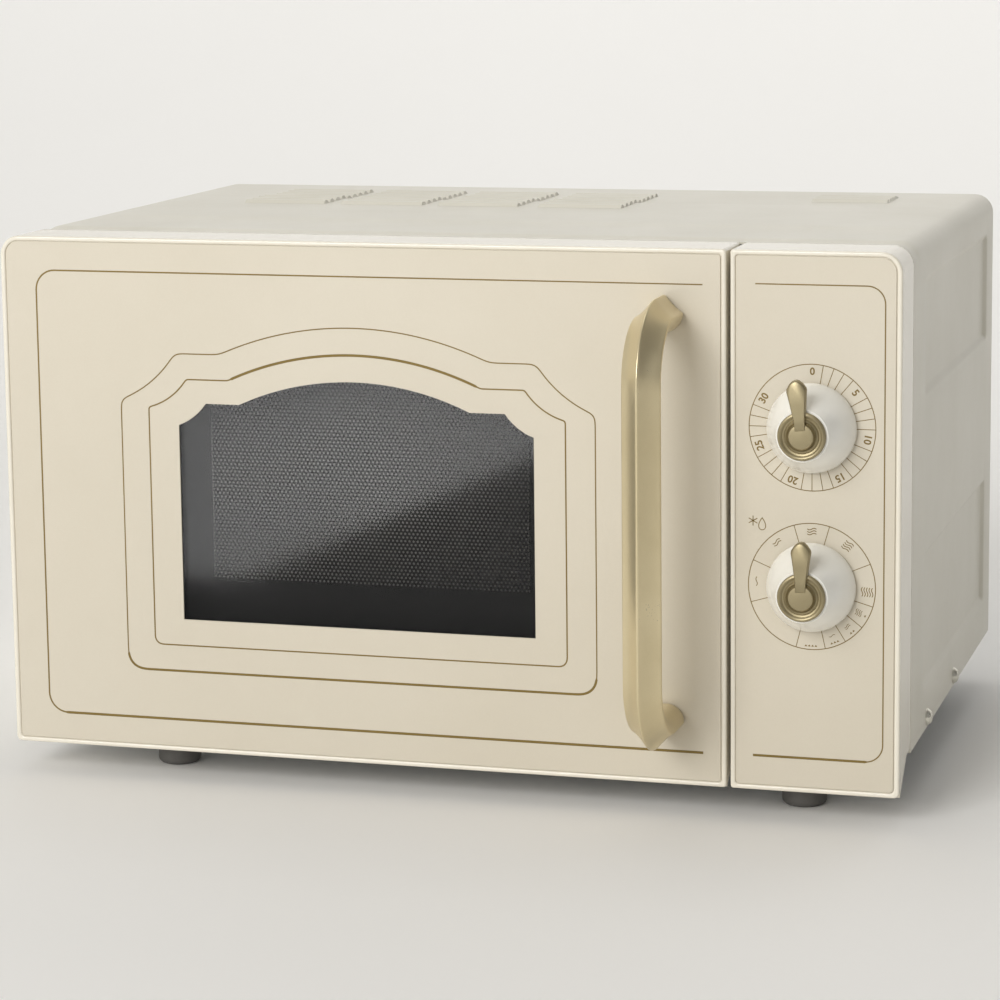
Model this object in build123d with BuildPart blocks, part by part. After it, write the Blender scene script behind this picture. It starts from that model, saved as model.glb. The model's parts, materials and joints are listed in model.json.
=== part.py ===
"""Retro countertop microwave oven with grill: every piece as its own named solid.

Frame: origin at the bottom centre of the box around the part, +X to the right of a user
facing the door, +Y to the rear, +Z up, millimetres.  Depths below are counted from the door's
front face towards the rear, heights from the door's bottom edge.
"""
from build123d import *
import math
import os

os.makedirs("parts", exist_ok=True)

# ---------------------------------------------------------------- driving dimensions
WIDTH = 455.0            # front face and casing
FACE_H = 260.0           # door and panel height
HALF_W = WIDTH / 2
HANDLE_REACH = 58.0      # handle ridge in front of the face
BACK_D = 308.0           # depth of the casing's rear edge
SPACER_REACH = 12.0      # wall spacer behind the casing
FOOT_DROP = 15.0         # face bottom edge above the worktop
FRONT_Y = HANDLE_REACH - (HANDLE_REACH + BACK_D + SPACER_REACH) / 2
CASE_D = 32.6            # depth where the casing starts
CASE_H0 = 14.0           # underside of the base
SHEET = 1.0              # steel sheet
TOP_R = 10.0             # casing and face top corners
BOTTOM_R = 3.0           # face bottom corners
DOOR_T = 31.8            # door and panel frame thickness
DOOR_X1 = 144.0          # door's right edge
PANEL_X0 = 146.0         # panel's left edge
RIM_ROUND = 1.1          # rounding of the lip round the face sheets
WALL = 2.5               # plastic walls
FACE_D0, FACE_D1 = 0.3, 1.1          # face sheets, front and back
WIN_X = -42.1            # window centre line
WIN_HALF, WIN_H0 = 91.6, 68.2        # window half width and bottom edge
WIN_SIDE, WIN_COVE = 167.0, 178.1    # top of the straight side, top of the cove
WIN_COVE_X, WIN_SHOULDER, WIN_APEX = 77.2, 59.5, 191.2
GLASS_HALF, GLASS_H0, GLASS_H1 = 104.0, 56.0, 203.0
GLASS_T = 3.0
CAV_X0, CAV_X1 = -199.0, 115.0       # cavity inner walls
CAV_H0, CAV_H1 = 32.0, 234.0
CAV_BACK = 296.0
PAN_X0, PAN_X1 = -212.0, 128.0       # door's inner steel pan
PAN_H0, PAN_H1 = 24.0, 244.0
PAN_D0, PAN_D1 = 20.0, 29.0
HINGE_X, HINGE_D = -220.5, 25.0
HINGE_R = 7.0            # door's rounded rear edge about the hinge
PIN_R = 2.5
RUN = 0.05               # radial clearance of running fits
DIAL_X = 185.2
DIALS = {"timer": 176.6, "power": 100.6}
SKIRT_R, SKIRT_REACH = 21.4, 24.5
LEVER_LEN, LEVER_D0, LEVER_D1 = 26.5, -34.0, -30.8
SHAFT_R = 3.0
HANDLE_X = 114.6
HANDLE_H0, HANDLE_H1 = 31.1, 229.8   # centres of the two legs
HANDLE_OUT = 49.0        # bar's section centre in front of the face
HANDLE_BEND = 29.0
TABLE_D = 166.0          # turntable centre depth
PLATE_R = 125.0
ROLLER_R, ROLLER_RING_R = 7.0, 88.0
FOOT_R = 11.0
FOOT_X = (-152.4, 175.3)
FOOT_D = (35.8, 282.0)
VENTS = ((-165.7, -119.9), (-110.1, -64.1), (-54.5, -10.5), (1.5, 47.0))
VENT_D0, VENT_ROWS, VENT_PITCH, VENT_SLOT = 184.0, 9, 9.6, 4.4
FAN_X, FAN_H, FAN_R = 171.0, 190.0, 44.0


def zz(height):
    """World height of a height above the face's bottom edge."""
    return height + FOOT_DROP


def yy(depth):
    """World Y of a depth behind the face."""
    return FRONT_Y + depth


def flat(height):
    """Horizontal plane at a height."""
    return Plane.XY.offset(zz(height))


def upright(depth):
    """Plane facing the user at a depth; sketch x is X and sketch y is Z."""
    return Plane(origin=(0, yy(depth), 0), x_dir=(1, 0, 0), z_dir=(0, -1, 0))


def sideways(x):
    """Plane facing right at x; sketch x is Y and sketch y is Z."""
    return Plane(origin=(x, 0, 0), x_dir=(0, 1, 0), z_dir=(1, 0, 0))


def slab(x0, x1, d0, d1, h0, h1, mode=Mode.ADD):
    """Rectangular block between two x, two depths and two heights."""
    with BuildSketch(flat(h0)) as outline:
        with Locations(((x0 + x1) / 2, (yy(d0) + yy(d1)) / 2)):
            Rectangle(x1 - x0, d1 - d0)
    extrude(outline.sketch, amount=h1 - h0, mode=mode)


def disc_front(x, height, radius, d0, d1, mode=Mode.ADD):
    """Round bar along the depth, from d0 (front) to d1 (rear)."""
    with BuildSketch(upright(d1)) as outline:
        with Locations((x, zz(height))):
            Circle(radius)
    extrude(outline.sketch, amount=d1 - d0, mode=mode)


def disc_up(x, depth, radius, h0, h1, mode=Mode.ADD):
    """Round bar standing up, from h0 to h1."""
    with BuildSketch(flat(h0)) as outline:
        with Locations((x, yy(depth))):
            Circle(radius)
    extrude(outline.sketch, amount=h1 - h0, mode=mode)


def disc_side(depth, height, radius, x0, x1, mode=Mode.ADD):
    """Round bar across, from x0 to x1."""
    with BuildSketch(sideways(x0)) as outline:
        with Locations((yy(depth), zz(height))):
            Circle(radius)
    extrude(outline.sketch, amount=x1 - x0, mode=mode)


def panel(x0, x1, h0, h1, d0, d1, radii=(0, 0, 0, 0), mode=Mode.ADD):
    """Upright plate with its own radius at bottom-left, bottom-right, top-right, top-left."""
    with BuildSketch(upright(d1)) as outline:
        with BuildLine():
            Polyline((x0, zz(h0)), (x1, zz(h0)), (x1, zz(h1)), (x0, zz(h1)), close=True)
        make_face()
        corners = ((x0, h0), (x1, h0), (x1, h1), (x0, h1))
        for (cx, ch), radius in zip(corners, radii):
            if radius > 0:
                spot = [v for v in outline.vertices()
                        if abs(v.X - cx) < 1e-3 and abs(v.Y - zz(ch)) < 1e-3]
                fillet(spot, radius)
    extrude(outline.sketch, amount=d1 - d0, mode=mode)


def window_shape(depth, reach, mode=Mode.ADD, grow=0.0):
    """Arched window: straight sides, a cove at each upper corner, flat shoulders, an arch."""
    cx, half = WIN_X, WIN_HALF + grow
    bottom = zz(WIN_H0 - grow)
    side, cove = zz(WIN_SIDE), zz(WIN_COVE + grow)
    cove_x, shoulder, apex = WIN_COVE_X + grow, WIN_SHOULDER, zz(WIN_APEX + grow)
    mid = ((half + cove_x) / 2 - 0.9, (side + cove) / 2 - 1.1)
    with BuildSketch(upright(depth)) as outline:
        with BuildLine():
            Polyline((cx - half, side), (cx - half, bottom), (cx + half, bottom), (cx + half, side))
            ThreePointArc((cx + half, side), (cx + mid[0], mid[1]), (cx + cove_x, cove))
            Line((cx + cove_x, cove), (cx + shoulder, cove))
            ThreePointArc((cx + shoulder, cove), (cx, apex), (cx - shoulder, cove))
            Line((cx - shoulder, cove), (cx - cove_x, cove))
            ThreePointArc((cx - cove_x, cove), (cx - mid[0], mid[1]), (cx - half, side))
        make_face()
    extrude(outline.sketch, amount=reach, mode=mode)


def skirt_taper(x0, x1):
    """Takes away the corner under the face so the underside rises towards the rear."""
    profile = ((-1, -2), (-1, 0), (2.5, 0), (20.8, 15.6), (23.5, 16), (34, 16), (34, -2))
    with BuildSketch(sideways(x0)) as outline:
        with BuildLine():
            Polyline([(yy(d), zz(h)) for d, h in profile], close=True)
        make_face()
    extrude(outline.sketch, amount=x1 - x0, mode=Mode.SUBTRACT)


def soften_rim(build, radius):
    """Rounds the lip that stands round the face sheet, on its front edges."""
    front = [e for e in build.edges()
             if abs(e.bounding_box().min.Y - yy(0)) < 1e-3 and abs(e.bounding_box().max.Y - yy(0)) < 1e-3]
    fillet(front, radius)


def save(build, label):
    """Names a piece and writes it as its own STEP file."""
    build.part.label = label
    export_step(build.part, "parts/%s.step" % label)


# ---------------------------------------------------------------- casing and chassis
def wrap_outline(inset):
    """Inverted U of the casing, narrowed by the inset."""
    with BuildSketch(upright(BACK_D), mode=Mode.PRIVATE) as outline:
        with BuildLine():
            Polyline((-HALF_W + inset, zz(CASE_H0)), (HALF_W - inset, zz(CASE_H0)),
                     (HALF_W - inset, zz(FACE_H - inset)), (-HALF_W + inset, zz(FACE_H - inset)),
                     close=True)
        make_face()
        fillet(outline.vertices().group_by(Axis.Y)[-1], max(TOP_R - inset, 0.5))
    return outline.sketch


PRESS = 2.0              # depth of the pressed panels
with BuildPart() as outer_casing:
    add(extrude(wrap_outline(0), amount=BACK_D - CASE_D, mode=Mode.PRIVATE))
    add(extrude(wrap_outline(SHEET), amount=BACK_D - CASE_D, mode=Mode.PRIVATE),
        mode=Mode.SUBTRACT)
    with BuildSketch(upright(BACK_D)):
        add(wrap_outline(SHEET * 0.5))
        add(wrap_outline(SHEET + 9.0), mode=Mode.SUBTRACT)
        with Locations((0, zz(CASE_H0) + 5)):
            Rectangle(WIDTH - 20, 11, mode=Mode.SUBTRACT)
    extrude(amount=SHEET)
    for sign in (-1, 1):
        for low, high in ((35, 105), (182, 241)):
            inner = sorted((sign * (HALF_W - PRESS - SHEET), sign * (HALF_W - SHEET / 2)))
            outer = sorted((sign * (HALF_W - PRESS), sign * (HALF_W + 1)))
            slab(*inner, 70, 286, low - 1, high + 1)
            slab(*outer, 71, 285, low, high, mode=Mode.SUBTRACT)
    for x0, x1 in VENTS:
        for row in range(VENT_ROWS):
            start = VENT_D0 + row * VENT_PITCH
            slab(x0, x1, start, start + VENT_SLOT, FACE_H - 3, FACE_H + 2, mode=Mode.SUBTRACT)
    for row in range(4):
        start = 246 + row * 7.5
        slab(138, 179, start, start + 3.6, FACE_H - 3, FACE_H + 2, mode=Mode.SUBTRACT)
save(outer_casing, "outer_casing")

IN_X = HALF_W - SHEET - 0.2          # inside face of the casing
with BuildPart() as base_plate:
    slab(-IN_X, IN_X, CASE_D + 1.4, BACK_D - 4, CASE_H0, CASE_H0 + 1.2)
    slab(-185, 210, 24, CASE_D + 2, CASE_H0, CASE_H0 + 1.2)
    for row in range(6):
        slab(138 + row * 12, 143 + row * 12, 200, 250, CASE_H0 - 1, CASE_H0 + 3,
             mode=Mode.SUBTRACT)
save(base_plate, "base_plate")

with BuildPart() as rear_panel:
    panel(-IN_X, IN_X, CASE_H0 + 1.4, FACE_H - 1.3, BACK_D - 2.4, BACK_D - 1.2,
          (0, 0, TOP_R - 1.5, TOP_R - 1.5))
    for column in range(11):
        for row in range(5):
            x0 = FAN_X - 38 + column * 7.2
            panel(x0, x0 + 3.6, FAN_H - 40 + row * 17, FAN_H - 27 + row * 17,
                  BACK_D - 4, BACK_D, mode=Mode.SUBTRACT)
    for column in range(14):
        x0 = -120 + column * 7.2
        panel(x0, x0 + 3.6, 150, 172, BACK_D - 4, BACK_D, mode=Mode.SUBTRACT)
    disc_front(150, 50, 7.0, BACK_D - 4, BACK_D + 1, mode=Mode.SUBTRACT)
save(rear_panel, "rear_panel")

with BuildPart() as cord_gland:
    disc_front(150, 50, 6.8, BACK_D - 8, BACK_D - 0.4)
    disc_front(150, 50, 10.0, BACK_D - 1.1, BACK_D + 3)
    disc_front(150, 50, 9.0, BACK_D - 6, BACK_D - 2.6)
    disc_front(150, 50, 3.4, BACK_D - 9, BACK_D + 4, mode=Mode.SUBTRACT)
save(cord_gland, "cord_gland")

with BuildPart() as rear_spacer:
    panel(-30, 30, 205, 235, BACK_D - 1.0, BACK_D + 1.5, (3, 3, 3, 3))
    for x0 in (-26, 22):
        panel(x0, x0 + 4, 208, 232, BACK_D, BACK_D + SPACER_REACH)
    panel(-26, 26, 218, 222, BACK_D, BACK_D + SPACER_REACH)
save(rear_spacer, "rear_spacer")

for index, (fx, fd) in enumerate((x, d) for d in FOOT_D for x in FOOT_X):
    with BuildPart() as foot:
        disc_up(fx, fd, FOOT_R, -FOOT_DROP, CASE_H0 - 0.02)
        fillet(foot.edges().group_by(Axis.Z)[0], 3.0)
        disc_up(fx, fd, 4.0, -FOOT_DROP - 1, -FOOT_DROP + 5, mode=Mode.SUBTRACT)
    save(foot, "foot_%s" % ("front_left", "front_right", "rear_left", "rear_right")[index])

with BuildPart() as casing_screws:
    for sign in (-1, 1):
        for fd in (84.2, 173.8):
            a, b = sorted((sign * (HALF_W + 1.5), sign * (HALF_W - 0.02)))
            disc_side(fd, CASE_H0 + 5.2, 4.2, a, b)
            a, b = sorted((sign * (HALF_W + 0.5), sign * (HALF_W - 7)))
            disc_side(fd, CASE_H0 + 5.2, 1.9, a, b)
    for sx, sh in ((-219, 60), (-219, 200), (219, 60), (219, 200), (-120, 254), (120, 254)):
        disc_front(sx, sh, 3.6, BACK_D + 0.02, BACK_D + 2)
        disc_front(sx, sh, 1.6, BACK_D - 6, BACK_D + 1)
save(casing_screws, "casing_screws")

SLOT_X0, SLOT_X1 = 129.5, 140.5      # latch hook slots in the front plate
HOOK_H = (78.0, 186.0)
with BuildPart() as front_plate:
    panel(-HALF_W + 1.4, HALF_W - 1.4, CASE_H0 + 1.6, FACE_H - 1.4, CASE_D, CASE_D + SHEET,
          (1, 1, TOP_R - 1.5, TOP_R - 1.5))
    panel(CAV_X0 - SHEET, CAV_X1 + SHEET, CAV_H0 - SHEET, CAV_H1 + SHEET, CASE_D - 1, CASE_D + 3,
          mode=Mode.SUBTRACT)
    for hook in HOOK_H:
        panel(SLOT_X0, SLOT_X1, hook - 8, hook + 10, CASE_D - 1, CASE_D + 3, mode=Mode.SUBTRACT)
    for arm in (20.0, 248.0):
        panel(HINGE_X - 5.6, HINGE_X + 5.6, arm - 0.2, arm + 2.2, CASE_D - 1, CASE_D + 3,
              mode=Mode.SUBTRACT)
    panel(PANEL_X0 + 8, HALF_W - 8, 40, 245, CASE_D - 1, CASE_D + 3, mode=Mode.SUBTRACT)
save(front_plate, "front_plate")

WAVE_D, WAVE_H = (110, 190), (96, 136)
with BuildPart() as cavity_liner:
    slab(CAV_X0 - SHEET, CAV_X1 + SHEET, CASE_D, CAV_BACK + SHEET, CAV_H0 - SHEET, CAV_H1 + SHEET)
    slab(CAV_X0, CAV_X1, CASE_D - 2, CAV_BACK, CAV_H0, CAV_H1, mode=Mode.SUBTRACT)
    slab(CAV_X1 - 2, CAV_X1 + 4, WAVE_D[0], WAVE_D[1], WAVE_H[0], WAVE_H[1], mode=Mode.SUBTRACT)
    disc_up(WIN_X, TABLE_D, 9.0, CAV_H0 - 4, CAV_H0 + 2, mode=Mode.SUBTRACT)
    for column in range(6):
        for row in range(6):
            disc_side(215 + column * 6, 172 + row * 6, 2.0, CAV_X1 - 2, CAV_X1 + 4,
                      mode=Mode.SUBTRACT)
    for column in range(12):
        for row in range(3):
            disc_front(-110 + column * 8, 155 + row * 7, 2.0, CAV_BACK - 2, CAV_BACK + 4,
                       mode=Mode.SUBTRACT)
    for depth in (96, 236):
        disc_side(depth, 221, 3.6, CAV_X1 - 2, CAV_X1 + 4, mode=Mode.SUBTRACT)
    for cx in (-120, 40):            # clips that carry the grill element
        for depth in (96, 236):
            slab(cx - 3, cx + 3, depth - 5.5, depth - 3.6, 215.6, CAV_H1 + 0.2)
            slab(cx - 3, cx + 3, depth + 3.6, depth + 5.5, 215.6, CAV_H1 + 0.2)
            slab(cx - 3, cx + 3, depth - 5.5, depth + 5.5, 215.4, 217.2)
save(cavity_liner, "cavity_liner")

with BuildPart() as waveguide_cover:
    slab(CAV_X1 - 1.0, CAV_X1 - 0.3, WAVE_D[0] - 6, WAVE_D[1] + 6, WAVE_H[0] - 6, WAVE_H[1] + 6)
save(waveguide_cover, "waveguide_cover")

for level, label in ((20.0, "hinge_bracket_lower"), (248.0, "hinge_bracket_upper")):
    with BuildPart() as bracket:
        slab(HINGE_X - 5, HINGE_X + 5, HINGE_D, CASE_D + 2.8, level, level + 2)
        disc_up(HINGE_X, HINGE_D, 5.0, level, level + 2)
        if level < FACE_H / 2:
            disc_up(HINGE_X, HINGE_D, PIN_R, level, level + 12)
            slab(HINGE_X - 5, -203, CASE_D + SHEET + 0.1, CASE_D + 2.8, level, level + 26)
        else:
            disc_up(HINGE_X, HINGE_D, PIN_R, level - 10, level + 2)
            slab(HINGE_X - 5, -203, CASE_D + SHEET + 0.1, CASE_D + 2.8, level - 24, level + 2)
    save(bracket, label)

# ---------------------------------------------------------------- control side, outside
with BuildPart() as panel_frame:
    panel(PANEL_X0, HALF_W, 0, FACE_H, 0, DOOR_T, (1.5, BOTTOM_R, TOP_R, 1.5))
    panel(PANEL_X0 + WALL, HALF_W - WALL, WALL, FACE_H - WALL, 4, DOOR_T + 2,
          (0, 0, TOP_R - WALL, 0), mode=Mode.SUBTRACT)
    panel(PANEL_X0 + 2.5, HALF_W - 2.7, 2.5, FACE_H - 2.5, -1, FACE_D1 + 0.05,
          (1.5, 2, TOP_R - 3, 1.5), mode=Mode.SUBTRACT)
    slab(PANEL_X0, HALF_W, 2.5, DOOR_T, 0, 18.5)
    skirt_taper(PANEL_X0 - 1, HALF_W + 1)
    panel(PANEL_X0 + 2.5, HALF_W - 2.7, 2.5, FACE_H - 2.5, -1, FACE_D1 + 0.05,
          (1.5, 2, TOP_R - 3, 1.5), mode=Mode.SUBTRACT)
    for height in DIALS.values():
        disc_front(DIAL_X, height, 5.0, -1, 8, mode=Mode.SUBTRACT)
    soften_rim(panel_frame, RIM_ROUND)
save(panel_frame, "panel_frame")

with BuildPart() as panel_face:
    panel(PANEL_X0 + 2.8, HALF_W - 3.0, 2.8, FACE_H - 2.8, FACE_D0, FACE_D1,
          (1.2, 1.8, TOP_R - 3.2, 1.2))
    for height in DIALS.values():
        disc_front(DIAL_X, height, 5.0, -1, 8, mode=Mode.SUBTRACT)
save(panel_face, "panel_face")

for dial, height in DIALS.items():
    with BuildPart() as shaft:
        disc_front(DIAL_X, height, SHAFT_R, -26, 36)
        slab(DIAL_X - 4, DIAL_X + 4, -27, -8, height + 1.8, height + 4, mode=Mode.SUBTRACT)
    save(shaft, dial + "_shaft")

    dome = ((SHAFT_R + RUN, -0.8), (SKIRT_R, -0.8), (SKIRT_R, -2.6), (20.6, -5.2), (18.9, -9.5),
            (16.6, -14.5), (14.4, -19.0), (12.9, -22.5), (12.3, -SKIRT_REACH),
            (SHAFT_R + RUN, -SKIRT_REACH))
    with BuildPart() as skirt:
        with BuildSketch(Plane(origin=(DIAL_X, FRONT_Y, zz(height)), x_dir=(1, 0, 0),
                               z_dir=(0, 0, 1))):
            with BuildLine():
                Polyline([(r, d) for r, d in dome], close=True)
            make_face()
        revolve(axis=Axis((DIAL_X, 0, zz(height)), (0, 1, 0)))
        disc_front(DIAL_X, height, 17.0, -6, 0, mode=Mode.SUBTRACT)
        disc_front(DIAL_X, height, 6.0, -12, -0.8)
        disc_front(DIAL_X, height, SHAFT_R + 0.02, -26, 1, mode=Mode.SUBTRACT)
    save(skirt, dial + "_skirt")

    with BuildPart() as lever:
        disc_front(DIAL_X, height, 12.1, -27.2, -SKIRT_REACH - 0.02)
        disc_front(DIAL_X, height, 9.6, -29, -26.4, mode=Mode.SUBTRACT)
        disc_front(DIAL_X, height, 7.2, LEVER_D0, -26.0)
        with BuildSketch(upright(LEVER_D1)):
            with BuildLine():
                Polyline([(DIAL_X + px, zz(height + ph)) for px, ph in
                          ((-3.0, 4), (-4.6, 22.5), (-2.6, 25.6), (0, LEVER_LEN), (2.6, 25.6),
                           (4.6, 22.5), (3.0, 4))], close=True)
            make_face()
        extrude(amount=LEVER_D1 - LEVER_D0)
    save(lever, dial + "_lever")

# ---------------------------------------------------------------- control side, inside
for dial, height in DIALS.items():
    label = "timer_unit" if dial == "timer" else "power_selector"
    with BuildPart() as unit:
        slab(DIAL_X - 27, DIAL_X + 27, 6.0, 38.0, height - 24, height + 24)
        disc_front(DIAL_X, height, 4.6, 4.4, 7)
        disc_front(DIAL_X, height, SHAFT_R + RUN, 0, 37, mode=Mode.SUBTRACT)
        for terminal in range(3):
            slab(DIAL_X - 18 + terminal * 14, DIAL_X - 12 + terminal * 14, 37.5, 47,
                 height - 0.4, height + 0.4)
    save(unit, label)

with BuildPart() as timer_bell:
    disc_front(DIAL_X, 222, 16.0, 30, 36)
    disc_front(DIAL_X, 222, 14.8, 31.2, 37, mode=Mode.SUBTRACT)
    disc_front(DIAL_X, 222, 3.0, 30, 40)
    slab(DIAL_X - 6, DIAL_X + 6, 38.2, 40, 200.2, 226)
save(timer_bell, "timer_bell")

with BuildPart() as switch_bracket:
    slab(PANEL_X0 + 1, PANEL_X0 + 2.6, CASE_D + 1.6, CASE_D + 32, 60, 212)
    slab(SLOT_X0 - 5, PANEL_X0 + 2.6, CASE_D + 30.4, CASE_D + 32, 60, 212)
save(switch_bracket, "switch_bracket")
for hook, label in zip(HOOK_H, ("lower", "upper")):
    with BuildPart() as switch:
        slab(SLOT_X0 - 4, PANEL_X0 - 3, CASE_D + 20, CASE_D + 30.2, hook - 14, hook + 14)
        disc_front(SLOT_X0 + 4.5, hook, 1.5 + RUN, CASE_D + 19, CASE_D + 25, mode=Mode.SUBTRACT)
        for terminal in (-9, 0, 9):
            slab(SLOT_X0 - 8, SLOT_X0 - 3.5, CASE_D + 25, CASE_D + 25.8, hook + terminal - 2,
                 hook + terminal + 2)
    save(switch, "door_switch_" + label)
    with BuildPart() as plunger:
        disc_front(SLOT_X0 + 4.5, hook, 1.5, CASE_D + 17.2, CASE_D + 23)
    save(plunger, "switch_plunger_" + label)

with BuildPart() as waveguide:
    slab(CAV_X1 + SHEET + 0.1, CAV_X1 + 19, WAVE_D[0] - 3, WAVE_D[1] + 3, WAVE_H[0] - 3, 178)
    slab(CAV_X1 - 1, CAV_X1 + 17.8, WAVE_D[0] - 1.8, WAVE_D[1] + 1.8, WAVE_H[0] - 1.8, 176.8,
         mode=Mode.SUBTRACT)
    slab(CAV_X1 + SHEET + 0.1, CAV_X1 + 2.2, WAVE_D[0] - 3, WAVE_D[1] + 3, WAVE_H[1] + 1, 178)
    disc_side(150, 158, 9.0, CAV_X1 + 10, CAV_X1 + 24, mode=Mode.SUBTRACT)
save(waveguide, "waveguide")

with BuildPart() as magnetron:
    slab(135, 141, 108, 192, 118, 198)
    for fin in range(9):
        slab(143 + fin * 5.4, 144 + fin * 5.4, 112, 188, 126, 190)
    disc_side(150, 158, 17.0, 135, 190)
    slab(190, 196, 108, 192, 118, 198)
    slab(136, 195, 106.6, 108.2, 118, 198)
    slab(136, 195, 191.8, 193.4, 118, 198)
    disc_side(150, 158, 7.5, 118, 136)
    slab(196, 214, 132, 168, 140, 176)
save(magnetron, "magnetron")

CORE_D, CORE_X = (70, 158), (136, 208)
with BuildPart() as transformer_core:
    slab(CORE_X[0], CORE_X[1], CORE_D[0], CORE_D[1], 16, 92)
    for d0 in (CORE_D[0] + 16, CORE_D[1] - 34):
        slab(CORE_X[0] - 1, CORE_X[1] + 1, d0, d0 + 18, 34, 74, mode=Mode.SUBTRACT)
    slab(CORE_X[0] - 8, CORE_X[1] + 8, CORE_D[0] + 4, CORE_D[1] - 4, CASE_H0 + 1.3, 18)
save(transformer_core, "transformer_core")
with BuildPart() as transformer_windings:
    for h0, h1 in ((35, 51), (55, 73)):
        slab(CORE_X[0] - 12, CORE_X[1] + 12, CORE_D[0] + 17, CORE_D[1] - 17, h0, h1)
        slab(CORE_X[0] - 2, CORE_X[1] + 2, CORE_D[0] + 33, CORE_D[1] - 33, h0 - 1, h1 + 1,
             mode=Mode.SUBTRACT)
save(transformer_windings, "transformer_windings")

with BuildPart() as capacitor:
    with BuildSketch(upright(272)):
        with Locations((170, zz(42))):
            SlotOverall(66, 40)
    extrude(amount=88)
    for x0 in (160, 180):
        slab(x0 - 3, x0 + 3, 176, 186, 45, 45.8)
save(capacitor, "capacitor")

with BuildPart() as filter_board:
    slab(128, 214, 60, 132, 243, 244.6)
    disc_up(150, 80, 9, 232, 243.2)
    disc_up(178, 82, 7, 229, 243.2)
    slab(192, 208, 66, 104, 236, 243.2)
    slab(140, 172, 106, 112, 237, 243.2)
save(filter_board, "filter_board")

with BuildPart() as fan_shroud:
    panel(119, 223, FAN_H - 50, FAN_H + 50, BACK_D - 38, BACK_D - 36)
    disc_front(FAN_X, FAN_H, FAN_R + 4, BACK_D - 38, BACK_D - 8)
    disc_front(FAN_X, FAN_H, FAN_R + 2, BACK_D - 40, BACK_D - 4, mode=Mode.SUBTRACT)
    for sign in (-1, 1):
        slab(FAN_X - 50, FAN_X + 50, BACK_D - 43, BACK_D - 38.02, FAN_H + sign * 12 - 4,
             FAN_H + sign * 12 + 4)
save(fan_shroud, "fan_shroud")
with BuildPart() as fan_motor:
    slab(FAN_X - 24, FAN_X + 24, BACK_D - 58, BACK_D - 43.1, FAN_H - 28, FAN_H + 28)
    slab(FAN_X - 16, FAN_X + 16, BACK_D - 66, BACK_D - 38.4, FAN_H - 26, FAN_H - 18)
    disc_front(FAN_X, FAN_H, 10, BACK_D - 64, BACK_D - 38)
    disc_front(FAN_X, FAN_H, 2.0 + RUN, BACK_D - 60, BACK_D - 30, mode=Mode.SUBTRACT)
save(fan_motor, "fan_motor")
with BuildPart() as fan_blades:
    disc_front(FAN_X, FAN_H, 2.0, BACK_D - 59, BACK_D - 14)
    disc_front(FAN_X, FAN_H, 12.0, BACK_D - 34, BACK_D - 14)
    for blade in range(5):
        angle = blade * 72.0
        tilt = Plane(origin=(FAN_X, yy(BACK_D - 24), zz(FAN_H)), x_dir=(
            math.cos(math.radians(angle)), 0, math.sin(math.radians(angle))),
            z_dir=(-math.sin(math.radians(angle)) * math.sin(math.radians(60)),
                   -math.cos(math.radians(60)),
                   math.cos(math.radians(angle)) * math.sin(math.radians(60))))
        with BuildSketch(tilt.offset(-0.8)):
            with BuildLine():
                Polyline((8, -7), (30, -9), (FAN_R - 3, -7), (FAN_R - 1, 4), (34, 8), (8, 6),
                         close=True)
            make_face()
        extrude(amount=1.6)
save(fan_blades, "fan_blades")

with BuildPart() as lamp_holder:
    slab(CAV_X1 + SHEET + 0.1, CAV_X1 + 7, 212, 250, 166, 206)
    disc_side(231, 187, 16.0, CAV_X1 - 1, CAV_X1 + 8, mode=Mode.SUBTRACT)
    slab(CAV_X1 + SHEET + 2, CAV_X1 + 12, 206, 212.5, 180, 194)
save(lamp_holder, "lamp_holder")
with BuildPart() as lamp_bulb:
    disc_front(CAV_X1 + 12.5, 187, 9.0, 214, 240)
    disc_front(CAV_X1 + 12.5, 187, 5.0, 205, 215)
    fillet(lamp_bulb.edges().group_by(Axis.Y)[-1], 6.0)
save(lamp_bulb, "lamp_bulb")

with BuildPart() as thermal_cutout:
    disc_up(20, 240, 9.0, CAV_H1 + SHEET + 0.1, CAV_H1 + 9)
    slab(6, 34, 236, 244, CAV_H1 + SHEET + 0.1, CAV_H1 + 2.4)
save(thermal_cutout, "thermal_cutout")

ELEMENT_R = 3.2
with BuildPart() as grill_element:
    with BuildLine() as loop:
        Polyline((CAV_X1 + 12, yy(96), zz(221)), (-170, yy(96), zz(221)),
                 (-170, yy(236), zz(221)), (CAV_X1 + 12, yy(236), zz(221)))
        fillet(loop.vertices().group_by(Axis.X)[0], 24)
    with BuildSketch(Plane(origin=(CAV_X1 + 12, yy(96), zz(221)), z_dir=(-1, 0, 0))):
        Circle(ELEMENT_R)
    sweep()
save(grill_element, "grill_element")
# ---------------------------------------------------------------- turntable
with BuildPart() as turntable_motor:
    disc_up(WIN_X, TABLE_D, 25.0, CASE_H0 + 1.6, CAV_H0 - SHEET - 0.3)
    slab(WIN_X - 32, WIN_X + 32, TABLE_D - 5, TABLE_D + 5, CAV_H0 - SHEET - 1.8,
         CAV_H0 - SHEET - 0.3)
    disc_up(WIN_X, TABLE_D, 3.5 + RUN, CASE_H0 + 4, CAV_H0, mode=Mode.SUBTRACT)
save(turntable_motor, "turntable_motor")
HUB_H0, HUB_H1 = CAV_H0 + 1.0, CAV_H0 + 11.0
with BuildPart() as coupler:
    disc_up(WIN_X, TABLE_D, 3.5, CASE_H0 + 5, HUB_H0 + 1)
    disc_up(WIN_X, TABLE_D, 8.0, HUB_H0, HUB_H0 + 5)
    for lobe in range(3):
        angle = math.radians(90 + lobe * 120)
        disc_up(WIN_X + 8.5 * math.cos(angle), TABLE_D + 8.5 * math.sin(angle), 5.0,
                HUB_H0, HUB_H1)
save(coupler, "coupler")
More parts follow.
